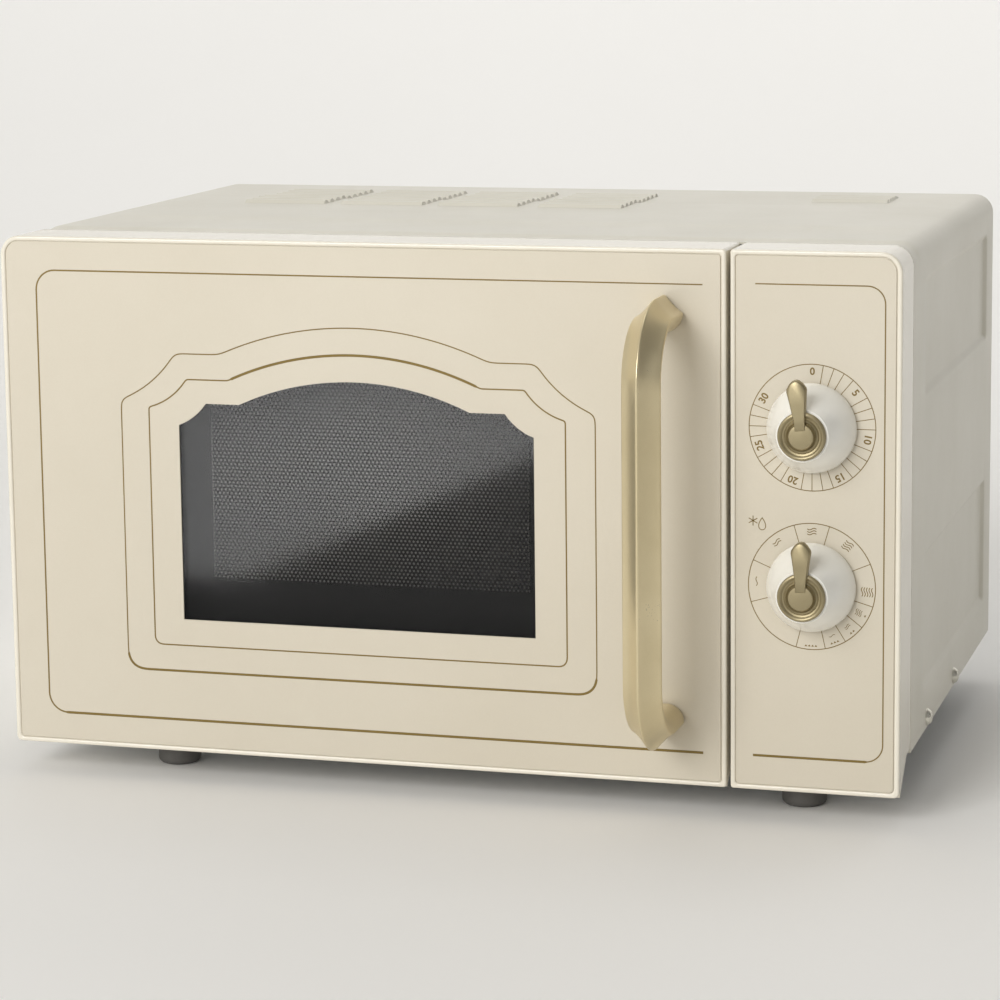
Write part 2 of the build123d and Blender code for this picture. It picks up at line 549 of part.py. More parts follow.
PLATE_H0 = CAV_H0 + 2 * ROLLER_R + 0.4
with BuildPart() as glass_plate:
    disc_up(WIN_X, TABLE_D, PLATE_R - 8, PLATE_H0, PLATE_H0 + 4)
    with BuildSketch(Plane(origin=(WIN_X, yy(TABLE_D), 0), x_dir=(1, 0, 0), z_dir=(0, -1, 0))):
        with BuildLine():
            Polyline([(r, zz(PLATE_H0 + h)) for r, h in
                      ((PLATE_R - 9, 0), (PLATE_R - 6, 0), (PLATE_R, 9), (PLATE_R, 11),
                       (PLATE_R - 2.4, 11), (PLATE_R - 7.6, 4), (PLATE_R - 9, 4))], close=True)
        make_face()
    revolve(axis=Axis((WIN_X, yy(TABLE_D), 0), (0, 0, 1)))
    for stop in range(3):
        angle = math.radians(30 + stop * 120)
        disc_up(WIN_X + 10.5 * math.cos(angle), TABLE_D + 10.5 * math.sin(angle), 3.0,
                HUB_H1 - 5, PLATE_H0 + 1)
save(glass_plate, "glass_plate")

RING_H0, RING_H1 = CAV_H0 + ROLLER_R - 2.5, CAV_H0 + ROLLER_R + 2.5
with BuildPart() as roller_ring:
    disc_up(WIN_X, TABLE_D, ROLLER_RING_R - 6, RING_H0, RING_H1)
    disc_up(WIN_X, TABLE_D, ROLLER_RING_R - 13, RING_H0 - 1, RING_H1 + 1, mode=Mode.SUBTRACT)
    for arm in range(3):
        angle = math.radians(arm * 120)
        axle = Plane(origin=(WIN_X + (ROLLER_RING_R - 8) * math.cos(angle),
                             yy(TABLE_D) + (ROLLER_RING_R - 8) * math.sin(angle),
                             zz(CAV_H0 + ROLLER_R)),
                     x_dir=(-math.sin(angle), math.cos(angle), 0),
                     z_dir=(math.cos(angle), math.sin(angle), 0))
        with BuildSketch(axle):
            Circle(2.0)
        extrude(amount=15)
save(roller_ring, "roller_ring")
for arm in range(3):
    angle = math.radians(arm * 120)
    with BuildPart() as roller:
        wheel = Plane(origin=(WIN_X + (ROLLER_RING_R - 3) * math.cos(angle),
                              yy(TABLE_D) + (ROLLER_RING_R - 3) * math.sin(angle),
                              zz(CAV_H0 + ROLLER_R + 0.05)),
                      x_dir=(-math.sin(angle), math.cos(angle), 0),
                      z_dir=(math.cos(angle), math.sin(angle), 0))
        with BuildSketch(wheel.offset(-1.5)):
            with Locations((0, -0.05)):
                Circle(ROLLER_R - 0.3)
                Circle(2.0 + RUN, mode=Mode.SUBTRACT)
        extrude(amount=8)
    save(roller, "roller_%d" % (arm + 1))

# ---------------------------------------------------------------- door
def hinge_rounding():
    """Rounds the door's rear left edge about the hinge so it swings clear of the casing."""
    with BuildSketch(flat(-2)) as outline:
        with BuildLine():
            Polyline((-HALF_W - 1, yy(HINGE_D)), (-HALF_W - 1, yy(HINGE_D + HINGE_R + 4)),
                     (HINGE_X, yy(HINGE_D + HINGE_R + 4)), (HINGE_X, yy(HINGE_D)), close=True)
        make_face()
        with Locations((HINGE_X, yy(HINGE_D))):
            Circle(HINGE_R, mode=Mode.SUBTRACT)
    extrude(outline.sketch, amount=FACE_H + 4, mode=Mode.SUBTRACT)


with BuildPart() as door_frame:
    panel(-HALF_W, DOOR_X1, 0, FACE_H, 0, DOOR_T, (BOTTOM_R, 1.5, 1.5, TOP_R))
    panel(-HALF_W + WALL, DOOR_X1 - WALL, WALL, FACE_H - WALL, 4.6, DOOR_T + 2,
          (0, 0, 0, TOP_R - WALL), mode=Mode.SUBTRACT)
    slab(-HALF_W, DOOR_X1, 2.5, DOOR_T, 0, 18.5)
    skirt_taper(-HALF_W - 1, DOOR_X1 + 1)
    panel(-HALF_W + 2.7, DOOR_X1 - 2.5, 2.5, FACE_H - 2.5, -1, FACE_D1 + 0.05,
          (2, 1.5, 1.5, TOP_R - 3), mode=Mode.SUBTRACT)
    panel(WIN_X - GLASS_HALF, WIN_X + GLASS_HALF, GLASS_H0, GLASS_H1, -1, 8, mode=Mode.SUBTRACT)
    hinge_rounding()
    for low in (22.6, 237.4):
        disc_up(HINGE_X, HINGE_D, 5.4, low, low + 10)
        slab(-HALF_W + 1.2, HINGE_X, 4, HINGE_D, low, low + 10)
        disc_up(HINGE_X, HINGE_D, PIN_R + RUN, low - 1, low + 11, mode=Mode.SUBTRACT)
    for level in (20.0, 248.0):
        slab(-HALF_W - 1, HINGE_X + 6.4, 15.5, DOOR_T + 1, level - 0.5, level + 2.5,
             mode=Mode.SUBTRACT)
    slab(130, DOOR_X1 - 1, 4, 30, 44, 47)
    for height in (HANDLE_H0, HANDLE_H1):
        disc_front(HANDLE_X, height, 2.6, -1, 8, mode=Mode.SUBTRACT)
    soften_rim(door_frame, RIM_ROUND)
save(door_frame, "door_frame")

with BuildPart() as door_face:
    panel(-HALF_W + 3.0, DOOR_X1 - 2.8, 2.8, FACE_H - 2.8, FACE_D0, FACE_D1,
          (1.8, 1.2, 1.2, TOP_R - 3.2))
    window_shape(FACE_D1 + 1, 4, mode=Mode.SUBTRACT)
    for height in (HANDLE_H0, HANDLE_H1):
        disc_front(HANDLE_X, height, 2.6, -1, 8, mode=Mode.SUBTRACT)
save(door_face, "door_face")

with BuildPart() as window_pane:
    panel(WIN_X - GLASS_HALF + 0.4, WIN_X + GLASS_HALF - 0.4, GLASS_H0 + 0.4, GLASS_H1 - 0.4,
          FACE_D1 + 0.1, FACE_D1 + 0.1 + GLASS_T, (2, 2, 2, 2))
save(window_pane, "window_pane")

SCREEN_HALF, SCREEN_H0, SCREEN_H1, SCREEN_PITCH = 100.0, 62.0, 200.0, 7.0
with BuildPart() as door_screen:
    panel(PAN_X0, PAN_X1, PAN_H0, PAN_H1, PAN_D0, PAN_D1)
    panel(PAN_X0 + 1, PAN_X1 - 1, PAN_H0 + 1, PAN_H1 - 1, PAN_D0 + 1, PAN_D1 + 1,
          mode=Mode.SUBTRACT)
    panel(PAN_X0 + 26, PAN_X1 - 26, PAN_H0 + 22, PAN_H1 - 22, PAN_D0 + 0.5, PAN_D1)
    panel(PAN_X0 + 27, PAN_X1 - 27, PAN_H0 + 23, PAN_H1 - 23, PAN_D0 + 1, PAN_D1 + 1,
          mode=Mode.SUBTRACT)
    with BuildSketch(upright(PAN_D0 + 3)):
        with Locations((WIN_X, zz((SCREEN_H0 + SCREEN_H1) / 2))):
            with GridLocations(SCREEN_PITCH, SCREEN_PITCH, 28, 19):
                RegularPolygon(2.6, 6)
    extrude(amount=6, mode=Mode.SUBTRACT)
save(door_screen, "door_screen")

with BuildPart() as choke_cover:
    panel(PAN_X0 + 0.4, PAN_X1 - 0.4, PAN_H0 + 0.4, PAN_H1 - 0.4, PAN_D1 + 0.1, PAN_D1 + 2.1,
          (4, 4, 4, 4))
    panel(PAN_X0 + 29, PAN_X1 - 29, PAN_H0 + 25, PAN_H1 - 25, PAN_D1 - 1, PAN_D1 + 3,
          (4, 4, 4, 4), mode=Mode.SUBTRACT)
save(choke_cover, "choke_cover")

ONION = ((-9.4, 0.0), (-8.2, -3.0), (-4.4, -5.4), (0.0, -9.0), (4.4, -5.4), (8.2, -3.0),
         (9.4, 0.0))


def onion(plane, x, height):
    """Handle section at a leg: half round inwards, pointed ridge outwards."""
    lower = height < FACE_H / 2
    flip = 1 if lower else -1
    points = [(x + px, zz(height) + flip * py) for px, py in ONION]
    with BuildSketch(plane) as section:
        with BuildLine():
            Polyline(points)
            ThreePointArc(points[-1], (x, zz(height) + flip * 9.4), points[0])
        make_face()
    return section.sketch


with BuildPart() as handle:
    with BuildLine() as bow:
        FilletPolyline((HANDLE_X, yy(-0.4), zz(HANDLE_H0)),
                       (HANDLE_X, yy(-HANDLE_OUT), zz(HANDLE_H0)),
                       (HANDLE_X, yy(-HANDLE_OUT), zz(HANDLE_H1)),
                       (HANDLE_X, yy(-0.4), zz(HANDLE_H1)), radius=HANDLE_BEND)
    foot_section = onion(upright(-0.4), HANDLE_X, HANDLE_H0)
    sweep(foot_section, path=bow.line)
    for height in (HANDLE_H0, HANDLE_H1):
        disc_front(HANDLE_X, height, 2.0, -14, 1, mode=Mode.SUBTRACT)
save(handle, "handle")

with BuildPart() as handle_screws:
    for height in (HANDLE_H0, HANDLE_H1):
        disc_front(HANDLE_X, height, 1.98, -13, 6)
        disc_front(HANDLE_X, height, 4.5, 4.62, 7.5)
save(handle_screws, "handle_screws")

PLATE_X = (133.6, 136.4)
LATCH_TOP, LATCH_LOW = 204.0, 66.0
with BuildPart() as latch_plate:
    slab(PLATE_X[0], PLATE_X[1], 18, 29, LATCH_LOW, LATCH_TOP)
    for hook in HOOK_H:
        slab(PLATE_X[0], PLATE_X[1], 18, CASE_D + 15, hook - 4, hook + 3)
        slab(PLATE_X[0], PLATE_X[1], CASE_D + 9, CASE_D + 15, hook - 6, hook - 3)
save(latch_plate, "latch_plate")

SPRING_H0, SPRING_R, WIRE_R = 47.4, 4.0, 0.6
with BuildPart() as latch_spring:
    with BuildLine():
        Helix(pitch=2.7, height=LATCH_LOW - SPRING_H0 - 1.4, radius=SPRING_R,
              center=((PLATE_X[0] + PLATE_X[1]) / 2, yy(23.5), zz(SPRING_H0 + 0.7)))
    with BuildSketch(Plane(origin=((PLATE_X[0] + PLATE_X[1]) / 2 + SPRING_R, yy(23.5),
                                   zz(SPRING_H0 + 0.7)), x_dir=(1, 0, 0), z_dir=(0, 1, 0))):
        Circle(WIRE_R)
    sweep(is_frenet=True)
save(latch_spring, "latch_spring")
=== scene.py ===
"""Retro cream microwave oven: the visible pieces and finishes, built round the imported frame.

Lengths in the classes are millimetres on the oven's own face: x to the right of its middle,
depth behind the face sheet's plane, height above the face's bottom edge.
"""

import json
import logging
import math
from dataclasses import dataclass
from enum import Enum
from typing import Any, Optional, Sequence

import bpy
import numpy as np
from mathutils import Matrix, Vector

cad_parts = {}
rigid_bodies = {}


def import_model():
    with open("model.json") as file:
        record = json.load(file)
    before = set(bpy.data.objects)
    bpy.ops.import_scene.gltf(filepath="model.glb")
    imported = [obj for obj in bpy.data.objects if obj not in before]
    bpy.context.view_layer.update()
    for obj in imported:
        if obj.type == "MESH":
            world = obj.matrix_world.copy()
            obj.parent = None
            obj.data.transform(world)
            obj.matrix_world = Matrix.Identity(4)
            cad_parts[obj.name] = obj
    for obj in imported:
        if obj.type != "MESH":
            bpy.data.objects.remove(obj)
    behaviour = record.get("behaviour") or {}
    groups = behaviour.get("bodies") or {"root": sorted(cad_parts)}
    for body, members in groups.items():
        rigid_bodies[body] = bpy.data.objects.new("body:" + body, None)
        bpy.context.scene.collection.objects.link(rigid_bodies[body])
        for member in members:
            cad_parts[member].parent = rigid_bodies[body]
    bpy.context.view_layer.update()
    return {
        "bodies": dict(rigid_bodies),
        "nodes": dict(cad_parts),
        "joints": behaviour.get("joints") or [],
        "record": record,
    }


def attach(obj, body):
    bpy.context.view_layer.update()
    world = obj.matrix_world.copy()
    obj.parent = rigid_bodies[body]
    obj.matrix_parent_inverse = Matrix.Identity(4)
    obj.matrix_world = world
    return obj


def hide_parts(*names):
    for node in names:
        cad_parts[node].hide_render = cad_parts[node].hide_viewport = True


LOG = logging.getLogger("oven")
MM = 0.001
FACE_Y = -131.0          # world y of the face plane
FACE_Z = 15.0            # world z of the face's bottom edge
FACE_H = 260.0
HALF_W = 227.5
DIAL_X = 185.2
SHEET_FRONT = 0.3        # depth of the face sheets' front
PRINT_RISE = 0.05        # how far printed ink stands proud of its sheet
PRINT_SINK = 0.02        # how far printed ink reaches into its sheet


# ------------------------------------------------------------------ geometry helpers
def world(x: Any, depth: Any, height: Any) -> np.ndarray:
    """Turns face coordinates in millimetres into world points in metres.

    Args:
        x: Across, one number or an array.
        depth: Behind the face plane.
        height: Above the face's bottom edge.

    Returns:
        Array of points with three numbers each.
    """
    x, depth, height = np.broadcast_arrays(*(np.asarray(v, float) for v in (x, depth, height)))
    return np.stack([x, depth + FACE_Y, height + FACE_Z], -1) * MM


def new_object(name: str, points: np.ndarray, faces: Any) -> bpy.types.Object:
    """Makes a mesh object from points and faces.

    Args:
        name: The piece's name.
        points: Vertex positions in metres.
        faces: Lists of vertex numbers.

    Returns:
        The new object, linked into the scene.
    """
    mesh = bpy.data.meshes.new(name)
    mesh.from_pydata(points.reshape(-1, 3), [], faces)
    mesh.validate()
    mesh.polygons.foreach_set("use_smooth", np.ones(len(mesh.polygons), bool))
    mesh.update()
    piece = bpy.data.objects.new(name, mesh)
    bpy.context.scene.collection.objects.link(piece)
    return piece


def grid_faces(rows: int, cols: int, wrap: bool = False,
               keep: Optional[np.ndarray] = None) -> np.ndarray:
    """Numbers the four corners of every cell of a grid of vertices.

    Args:
        rows: Vertices along the first parameter.
        cols: Vertices along the second parameter.
        wrap: Whether the second parameter closes on itself.
        keep: Mask of the cells to keep.

    Returns:
        Array of quads.
    """
    i, j = np.meshgrid(np.arange(rows - 1), np.arange(cols if wrap else cols - 1),
                       indexing="ij")
    k = (j + 1) % cols
    quads = np.stack([i * cols + j, i * cols + k, (i + 1) * cols + k, (i + 1) * cols + j], -1)
    return quads[keep] if keep is not None else quads.reshape(-1, 4)


def loft(name: str, rings: np.ndarray, closed: bool = False) -> bpy.types.Object:
    """Skins closed rings of points, ring after ring, into a closed shell.

    Args:
        name: The piece's name.
        rings: Array (ring, point, 3); every ring closes on itself.
        closed: Whether the last ring meets the first; otherwise both end rings are filled.

    Returns:
        The skinned object.
    """
    rows, cols = rings.shape[:2]
    if closed:
        faces = grid_faces(rows + 1, cols, wrap=True) % (rows * cols)
    else:
        faces = grid_faces(rows, cols, wrap=True).tolist()
        faces.append(list(range(cols))[::-1])
        faces.append([(rows - 1) * cols + k for k in range(cols)])
    piece = new_object(name, rings, faces)
    face_outwards(piece)
    return piece


def face_outwards(piece: bpy.types.Object) -> None:
    """Turns a closed mesh the right way out when its signed volume is negative.

    Args:
        piece: The closed mesh object.
    """
    mesh = piece.data
    mesh.calc_loop_triangles()
    co = np.array([v.co for v in mesh.vertices])
    tri = np.array([t.vertices for t in mesh.loop_triangles])
    a, b, c = co[tri[:, 0]], co[tri[:, 1]], co[tri[:, 2]]
    if np.einsum("ij,ij->i", a, np.cross(b, c)).sum() < 0:
        mesh.flip_normals()


def faceted(piece: bpy.types.Object) -> None:
    """Shades every face flat, as printed lines and folded sheet have plane faces."""
    faces = piece.data.polygons
    faces.foreach_set("use_smooth", np.zeros(len(faces), bool))


def turned(name: str, profile: Sequence[tuple[float, float]], x: float, height: float,
           sides: int, closed: bool = False) -> bpy.types.Object:
    """Turns a profile about an axis along the depth.

    The point at angle a and profile place (r, d) is (x + r sin a, d, height + r cos a).

    Args:
        name: The piece's name.
        profile: Radius and depth pairs, from the axis back to the axis or a closed loop.
        x: Axis place across.
        height: Axis height.
        sides: Steps round the axis.
        closed: Whether the profile is a closed loop.

    Returns:
        The turned object.
    """
    radius, depth = np.array(profile, float).T
    angle = np.arange(sides) * math.tau / sides
    rings = world(x + radius[:, None] * np.sin(angle), depth[:, None] + 0 * angle,
                  height + radius[:, None] * np.cos(angle))
    return loft(name, rings, closed)


def smooth_line(points: Sequence[tuple[float, float]], step: float, passes: int,
                closed: bool = False) -> np.ndarray:
    """Resamples a polyline evenly and eases its corners.

    Each pass moves a point to (before + 2 itself + after) / 4; an open line's ends are held.

    Args:
        points: Corner points; a closed line gives its first point again at the end.
        step: Spacing of the new points.
        passes: How many times the line is averaged.
        closed: Whether the line closes on itself.

    Returns:
        The smoothed points, with the first one not repeated.
    """
    line = np.array(points, float)
    run = np.r_[0, np.cumsum(np.linalg.norm(np.diff(line, axis=0), axis=1))]
    place = np.linspace(0, run[-1], int(run[-1] / step))
    line = np.stack([np.interp(place, run, line[:, k]) for k in range(2)], -1)
    if closed:
        line = line[:-1]
    for _ in range(passes):
        eased = (np.roll(line, 1, 0) + 2 * line + np.roll(line, -1, 0)) / 4
        if not closed:
            eased[[0, -1]] = line[[0, -1]]
        line = eased
    return line


def arc(cx: float, cy: float, radius: float, start: float, stop: float,
        steps: int = 12) -> list[tuple[float, float]]:
    """Points on an arc about (cx, cy), angles in degrees anticlockwise from the right."""
    angle = np.radians(np.linspace(start, stop, steps))
    return list(zip(cx + radius * np.cos(angle), cy + radius * np.sin(angle)))


def arc_through(a: tuple[float, float], m: tuple[float, float], b: tuple[float, float],
                steps: int = 16) -> list[tuple[float, float]]:
    """Points of the circle arc from a to b through m.

    The centre solves the two equations that put it as far from a as from m and from b.

    Args:
        a: First point.
        m: A point on the way.
        b: Last point.
        steps: How many points.

    Returns:
        The points.
    """
    rows = 2 * np.array([[m[0] - a[0], m[1] - a[1]], [b[0] - a[0], b[1] - a[1]]])
    right = np.array([m[0]**2 + m[1]**2 - a[0]**2 - a[1]**2,
                      b[0]**2 + b[1]**2 - a[0]**2 - a[1]**2])
    cx, cy = np.linalg.solve(rows, right)
    start, mid, stop = (math.atan2(p[1] - cy, p[0] - cx) for p in (a, m, b))
    turn = (stop - start) % math.tau
    if (mid - start) % math.tau > turn:
        turn -= math.tau
    angle = start + np.linspace(0, turn, steps)
    radius = math.hypot(a[0] - cx, a[1] - cy)
    return list(zip(cx + radius * np.cos(angle), cy + radius * np.sin(angle)))


def ribbon(name: str, line: Any, width: Any, closed: bool = False) -> bpy.types.Object:
    """Lays a thin printed line on the face along a path.

    Each path point gives two vertices, half the width to each side along the mitred normal;
    the line stands a little proud of the sheet and is a closed shell.

    Args:
        name: The piece's name.
        line: Path points across and up.
        width: Line width, one number or one for each point.
        closed: Whether the path closes on itself.

    Returns:
        The ribbon object.
    """
    line = np.array(line, float)
    step = (np.roll(line, -1, 0) - line) if closed else np.diff(line, axis=0)
    step /= np.linalg.norm(step, axis=1, keepdims=True) + 1e-12
    side = np.stack([-step[:, 1], step[:, 0]], -1)
    before = np.roll(side, 1, 0) if closed else np.vstack([side[:1], side])
    after = side if closed else np.vstack([side, side[-1:]])
    normal = before + after
    normal /= np.linalg.norm(normal, axis=1, keepdims=True) + 1e-12
    reach = 1 / np.clip((normal * after).sum(1), 0.5, 1)
    offset = normal * (reach * np.asarray(width, float) / 2)[:, None]
    left, right = line + offset, line - offset
    front, back = SHEET_FRONT - PRINT_RISE, SHEET_FRONT + PRINT_SINK
    corners = ((left, front), (right, front), (right, back), (left, back))
    rings = np.stack([world(edge[:, 0], depth, edge[:, 1]) for edge, depth in corners], 1)
    piece = loft(name, rings, closed)
    faceted(piece)
    return piece


def joined(name: str, parts: list[bpy.types.Object]) -> bpy.types.Object:
    """Joins meshes that lie in world coordinates into one object.

    Args:
        name: The joined piece's name.
        parts: The objects to join, which are removed.

    Returns:
        The joined object.
    """
    points, faces, base = [], [], 0
    for part in parts:
        co = np.array([v.co for v in part.data.vertices])
        faces += [[base + k for k in p.vertices] for p in part.data.polygons]
        base += len(co)
        points.append(co)
    smooth = np.concatenate([np.array([p.use_smooth for p in part.data.polygons])
                             for part in parts])
    piece = new_object(name, np.vstack(points), faces)
    piece.data.polygons.foreach_set("use_smooth", smooth)
    for part in parts:
        bpy.data.objects.remove(part)
    return piece


def modify(piece: bpy.types.Object, kind: str, **settings: Any) -> None:
    """Adds a modifier of the given kind with its settings.

    Args:
        piece: The object that gets the modifier.
        kind: The modifier's type name.
        settings: Its properties and their values.
    """
    modifier = piece.modifiers.new(kind.lower(), kind)
    for key, value in settings.items():
        setattr(modifier, key, value)


# ------------------------------------------------------------------ finishes
BRUSH_STRETCH = 0.04           # scale along a brushed surface's strokes against across them
WAVE_BANDS = 3.2               # turns of wire in one unit of the wave pattern
FINE_SHARE = 0.25              # how much the fine pattern adds to the broad patches
TONE_SPAN = (0.35, 0.95)       # patch values between which the tone goes from clean to dark
GLOSS_SPAN = (0.3, 0.9)        # patch values between which the roughness rises


def linear(colour: str) -> tuple[float, float, float, float]:
    """Linear colour of an sRGB hex value such as E3DCCE.

    Args:
        colour: Six hex digits.

    Returns:
        Red, green, blue and an alpha of one.
    """
    parts = [int(colour[k:k + 2], 16) / 255 for k in (0, 2, 4)]
    return tuple(c / 12.92 if c <= 0.04045 else ((c + 0.055) / 1.055) ** 2.4
                 for c in parts) + (1.0,)


def add_node(tree: bpy.types.NodeTree, kind: str, settings: Optional[dict] = None,
             links: Optional[dict] = None, values: Optional[dict] = None) -> bpy.types.Node:
    """Adds a node with its settings, socket values and incoming links.

    Args:
        tree: The material's node tree.
        kind: The node's type name.
        settings: Properties of the node.
        links: Input socket to the output socket that feeds it.
        values: Input socket to its value.

    Returns:
        The new node.
    """
    made = tree.nodes.new(kind)
    for key, value in (settings or {}).items():
        setattr(made, key, value)
    for key, value in (values or {}).items():
        made.inputs[key].default_value = value
    for key, source in (links or {}).items():
        tree.links.new(source, made.inputs[key])
    return made


class Texture(Enum):
    """How a surface was made, which sets its fine pattern."""

    PEEL = "sprayed paint or moulded gloss, with a soft orange-peel ripple"
    GRAIN = "fine spark-eroded mould grain"
    BRUSHED = "brushed along x"
    SPANGLE = "zinc crystals of hot-dip galvanising"
    WOUND = "wire laid turn beside turn"


@dataclass(frozen=True)
class Finish:
    """A real surface: what it is made of and how it was made."""

    name: str
    colour: str
    shade: str                       # the darker or dirtier tone mixed in
    texture: Texture = Texture.PEEL
    pattern_mm: float = 1.2          # size of one ripple, grain or crystal
    relief_mm: float = 0.01          # height of the pattern
    patch_mm: float = 60.0           # size of the tone's patches
    rough: tuple[float, float] = (0.25, 0.35)
    metallic: float = 0.0
    ior: float = 1.5
    coat: float = 0.0
    coat_rough: float = 0.05
    alpha: float = 1.0
    transmission: float = 0.0

    def pattern(self, tree: bpy.types.NodeTree, place: bpy.types.NodeSocket
                ) -> bpy.types.NodeSocket:
        """Adds the texture that gives the surface's fine relief.

        Args:
            tree: The material's node tree.
            place: Object coordinates.

        Returns:
            The height socket.
        """
        scale = 1000 / self.pattern_mm
        if self.texture is Texture.SPANGLE:
            return add_node(tree, "ShaderNodeTexVoronoi", {"feature": "F1"}, {"Vector": place},
                            {"Scale": scale}).outputs["Color"]
        if self.texture is Texture.WOUND:
            return add_node(tree, "ShaderNodeTexWave", {"bands_direction": "Z"},
                            {"Vector": place}, {"Scale": scale / WAVE_BANDS}).outputs["Fac"]
        if self.texture is Texture.BRUSHED:
            place = add_node(tree, "ShaderNodeMapping", None, {"Vector": place},
                             {"Scale": (BRUSH_STRETCH, 1, 1)}).outputs["Vector"]
        detail = 1.0 if self.texture is Texture.PEEL else 4.0
        return add_node(tree, "ShaderNodeTexNoise", None, {"Vector": place},
                        {"Scale": scale, "Detail": detail}).outputs["Fac"]

    def material(self) -> bpy.types.Material:
        """Builds the material once and gives it back after that.

        Returns:
            The Blender material.
        """
        known = bpy.data.materials.get(self.name)
        if known:
            return known
        made = bpy.data.materials.new(self.name)
        made.use_nodes = True
        tree = made.node_tree
        shader = tree.nodes["Principled BSDF"]
        place = add_node(tree, "ShaderNodeTexCoord").outputs["Object"]
        patches = add_node(tree, "ShaderNodeTexNoise", None, {"Vector": place},
                           {"Scale": 1000 / self.patch_mm, "Detail": 5.0, "Roughness": 0.6})
        height = self.pattern(tree, place)
        speck = add_node(tree, "ShaderNodeMath", {"operation": "MULTIPLY_ADD"}, {0: height},
                         {1: FINE_SHARE})
        tree.links.new(patches.outputs["Fac"], speck.inputs[2])
        ramp = add_node(tree, "ShaderNodeMapRange", None, {"Value": speck.outputs[0]},
                        {"From Min": TONE_SPAN[0], "From Max": TONE_SPAN[1]})
        tone = add_node(tree, "ShaderNodeMix", {"data_type": "RGBA"},
                        {"Factor": ramp.outputs["Result"]})
        tone.inputs[6].default_value = linear(self.colour)
        tone.inputs[7].default_value = linear(self.shade)
        gloss = add_node(tree, "ShaderNodeMapRange", None, {"Value": speck.outputs[0]},
                         {"From Min": GLOSS_SPAN[0], "From Max": GLOSS_SPAN[1],
                          "To Min": self.rough[0], "To Max": self.rough[1]})
        bump = add_node(tree, "ShaderNodeBump", None, {"Height": height},
                        {"Strength": 1.0, "Distance": self.relief_mm * MM})
        tree.links.new(tone.outputs[2], shader.inputs["Base Color"])
        tree.links.new(gloss.outputs["Result"], shader.inputs["Roughness"])
        tree.links.new(bump.outputs["Normal"], shader.inputs["Normal"])
        for socket, value in (("Metallic", self.metallic), ("IOR", self.ior),
                              ("Coat Weight", self.coat), ("Coat Roughness", self.coat_rough),
                              ("Alpha", self.alpha), ("Transmission Weight", self.transmission)):
            shader.inputs[socket].default_value = value
        return made


# Powder-coated steel: eggshell ripple, a little darker where the coat is thin.
CASING_PAINT = Finish("cream_powder_coat", "E0DCCF", "D9D5C7", Texture.PEEL, 1.6, 0.006,
                      rough=(0.34, 0.42), coat=0.1, coat_rough=0.2)
# Injection-moulded ABS, ivory, polished tool: sharp soft highlights on the rims.
IVORY_ABS = Finish("ivory_abs", "F3EDDF", "ECE5D4", Texture.PEEL, 2.5, 0.006,
                   rough=(0.16, 0.22), coat=0.3)
# Metallic lacquer under glass-clear coat: a pearl sheen with fine flake.
FACE_LACQUER = Finish("pearl_cream_lacquer", "DCD4C3", "D3CAB7", Texture.GRAIN, 0.8, 0.002,
                      patch_mm=180, rough=(0.36, 0.44), metallic=0.12, coat=0.25,
                      coat_rough=0.3)
# Screen-printed bronze ink, slightly metallic.
GOLD_INK = Finish("bronze_ink", "8A7541", "776333", Texture.GRAIN, 0.5, 0.004,
                  rough=(0.35, 0.5), metallic=0.45)
# Champagne-anodised aluminium: satin, tiny pits, warm grey gold.
CHAMPAGNE = Finish("champagne_anodised_aluminium", "E8DAB6", "D2C29A", Texture.GRAIN, 0.45,
                   0.012, patch_mm=80, rough=(0.24, 0.34), metallic=0.7)
# The same aluminium, a darker satin, on the dials' levers.
LEVER_METAL = Finish("satin_bronze_lever", "A89C7C", "94886A", Texture.GRAIN, 0.5, 0.01,
                     patch_mm=30, rough=(0.34, 0.44), metallic=0.75)
# Gloss-moulded ABS of the dial skirts, nearly white.
KNOB_ABS = Finish("white_gloss_abs", "FDFCF6", "F9F7F0", Texture.PEEL, 3.0, 0.004,
                  rough=(0.08, 0.14), coat=0.5)
# Smoked toughened glass: mostly clear to light going straight through, mirror-smooth.
SMOKED_GLASS = Finish("smoked_toughened_glass", "121213", "151516", Texture.PEEL, 60.0, 0.0005,
                      rough=(0.07, 0.1), ior=1.4, alpha=0.32)
# Clear soda-lime glass of the turntable: bright edges with a faint green.
CLEAR_GLASS = Finish("soda_lime_glass", "EAF3F1", "E2EEEB", Texture.PEEL, 25.0, 0.02,
                     rough=(0.02, 0.05), ior=1.52, transmission=0.9)
# Thin bulb glass, warm white: small sharp highlights on a clear shell.
WARM_BULB = Finish("bulb_glass", "FFF6E4", "F7EBD2", Texture.PEEL, 10.0, 0.01,
                   rough=(0.05, 0.08), transmission=0.7)
# Hot-dip galvanised sheet: flat crystals a few millimetres wide.
ZINC_SHEET = Finish("hot_dip_zinc_sheet", "B4B8BA", "9DA1A4", Texture.SPANGLE, 7.0, 0.006,
                    rough=(0.32, 0.5), metallic=0.9)
# Bright zinc plating over cold-headed steel: crisp glints with a warm tint.
BRIGHT_ZINC = Finish("zinc_plated_screws", "E9E6DC", "CFCBBE", Texture.GRAIN, 0.4, 0.004,
                     rough=(0.22, 0.34), metallic=0.8)
# Grey vitreous enamel of the cavity, lightly speckled.
ENAMEL = Finish("grey_enamel", "C9C9C4", "B4B4AF", Texture.GRAIN, 1.2, 0.015,
                rough=(0.2, 0.32), coat=0.3)
# Black paint on the perforated sheet: soot-dark, so only the holes catch the eye.
SCREEN_PAINT = Finish("black_screen_paint", "171615", "111110", Texture.GRAIN, 0.6, 0.006,
                      rough=(0.4, 0.55))
# Milky film laid behind the screen: it catches light through the holes as pale dots.
INNER_FILM = Finish("milky_film", "D6D4CE", "CAC8C2", Texture.GRAIN, 2.0, 0.003,
                    rough=(0.4, 0.55))
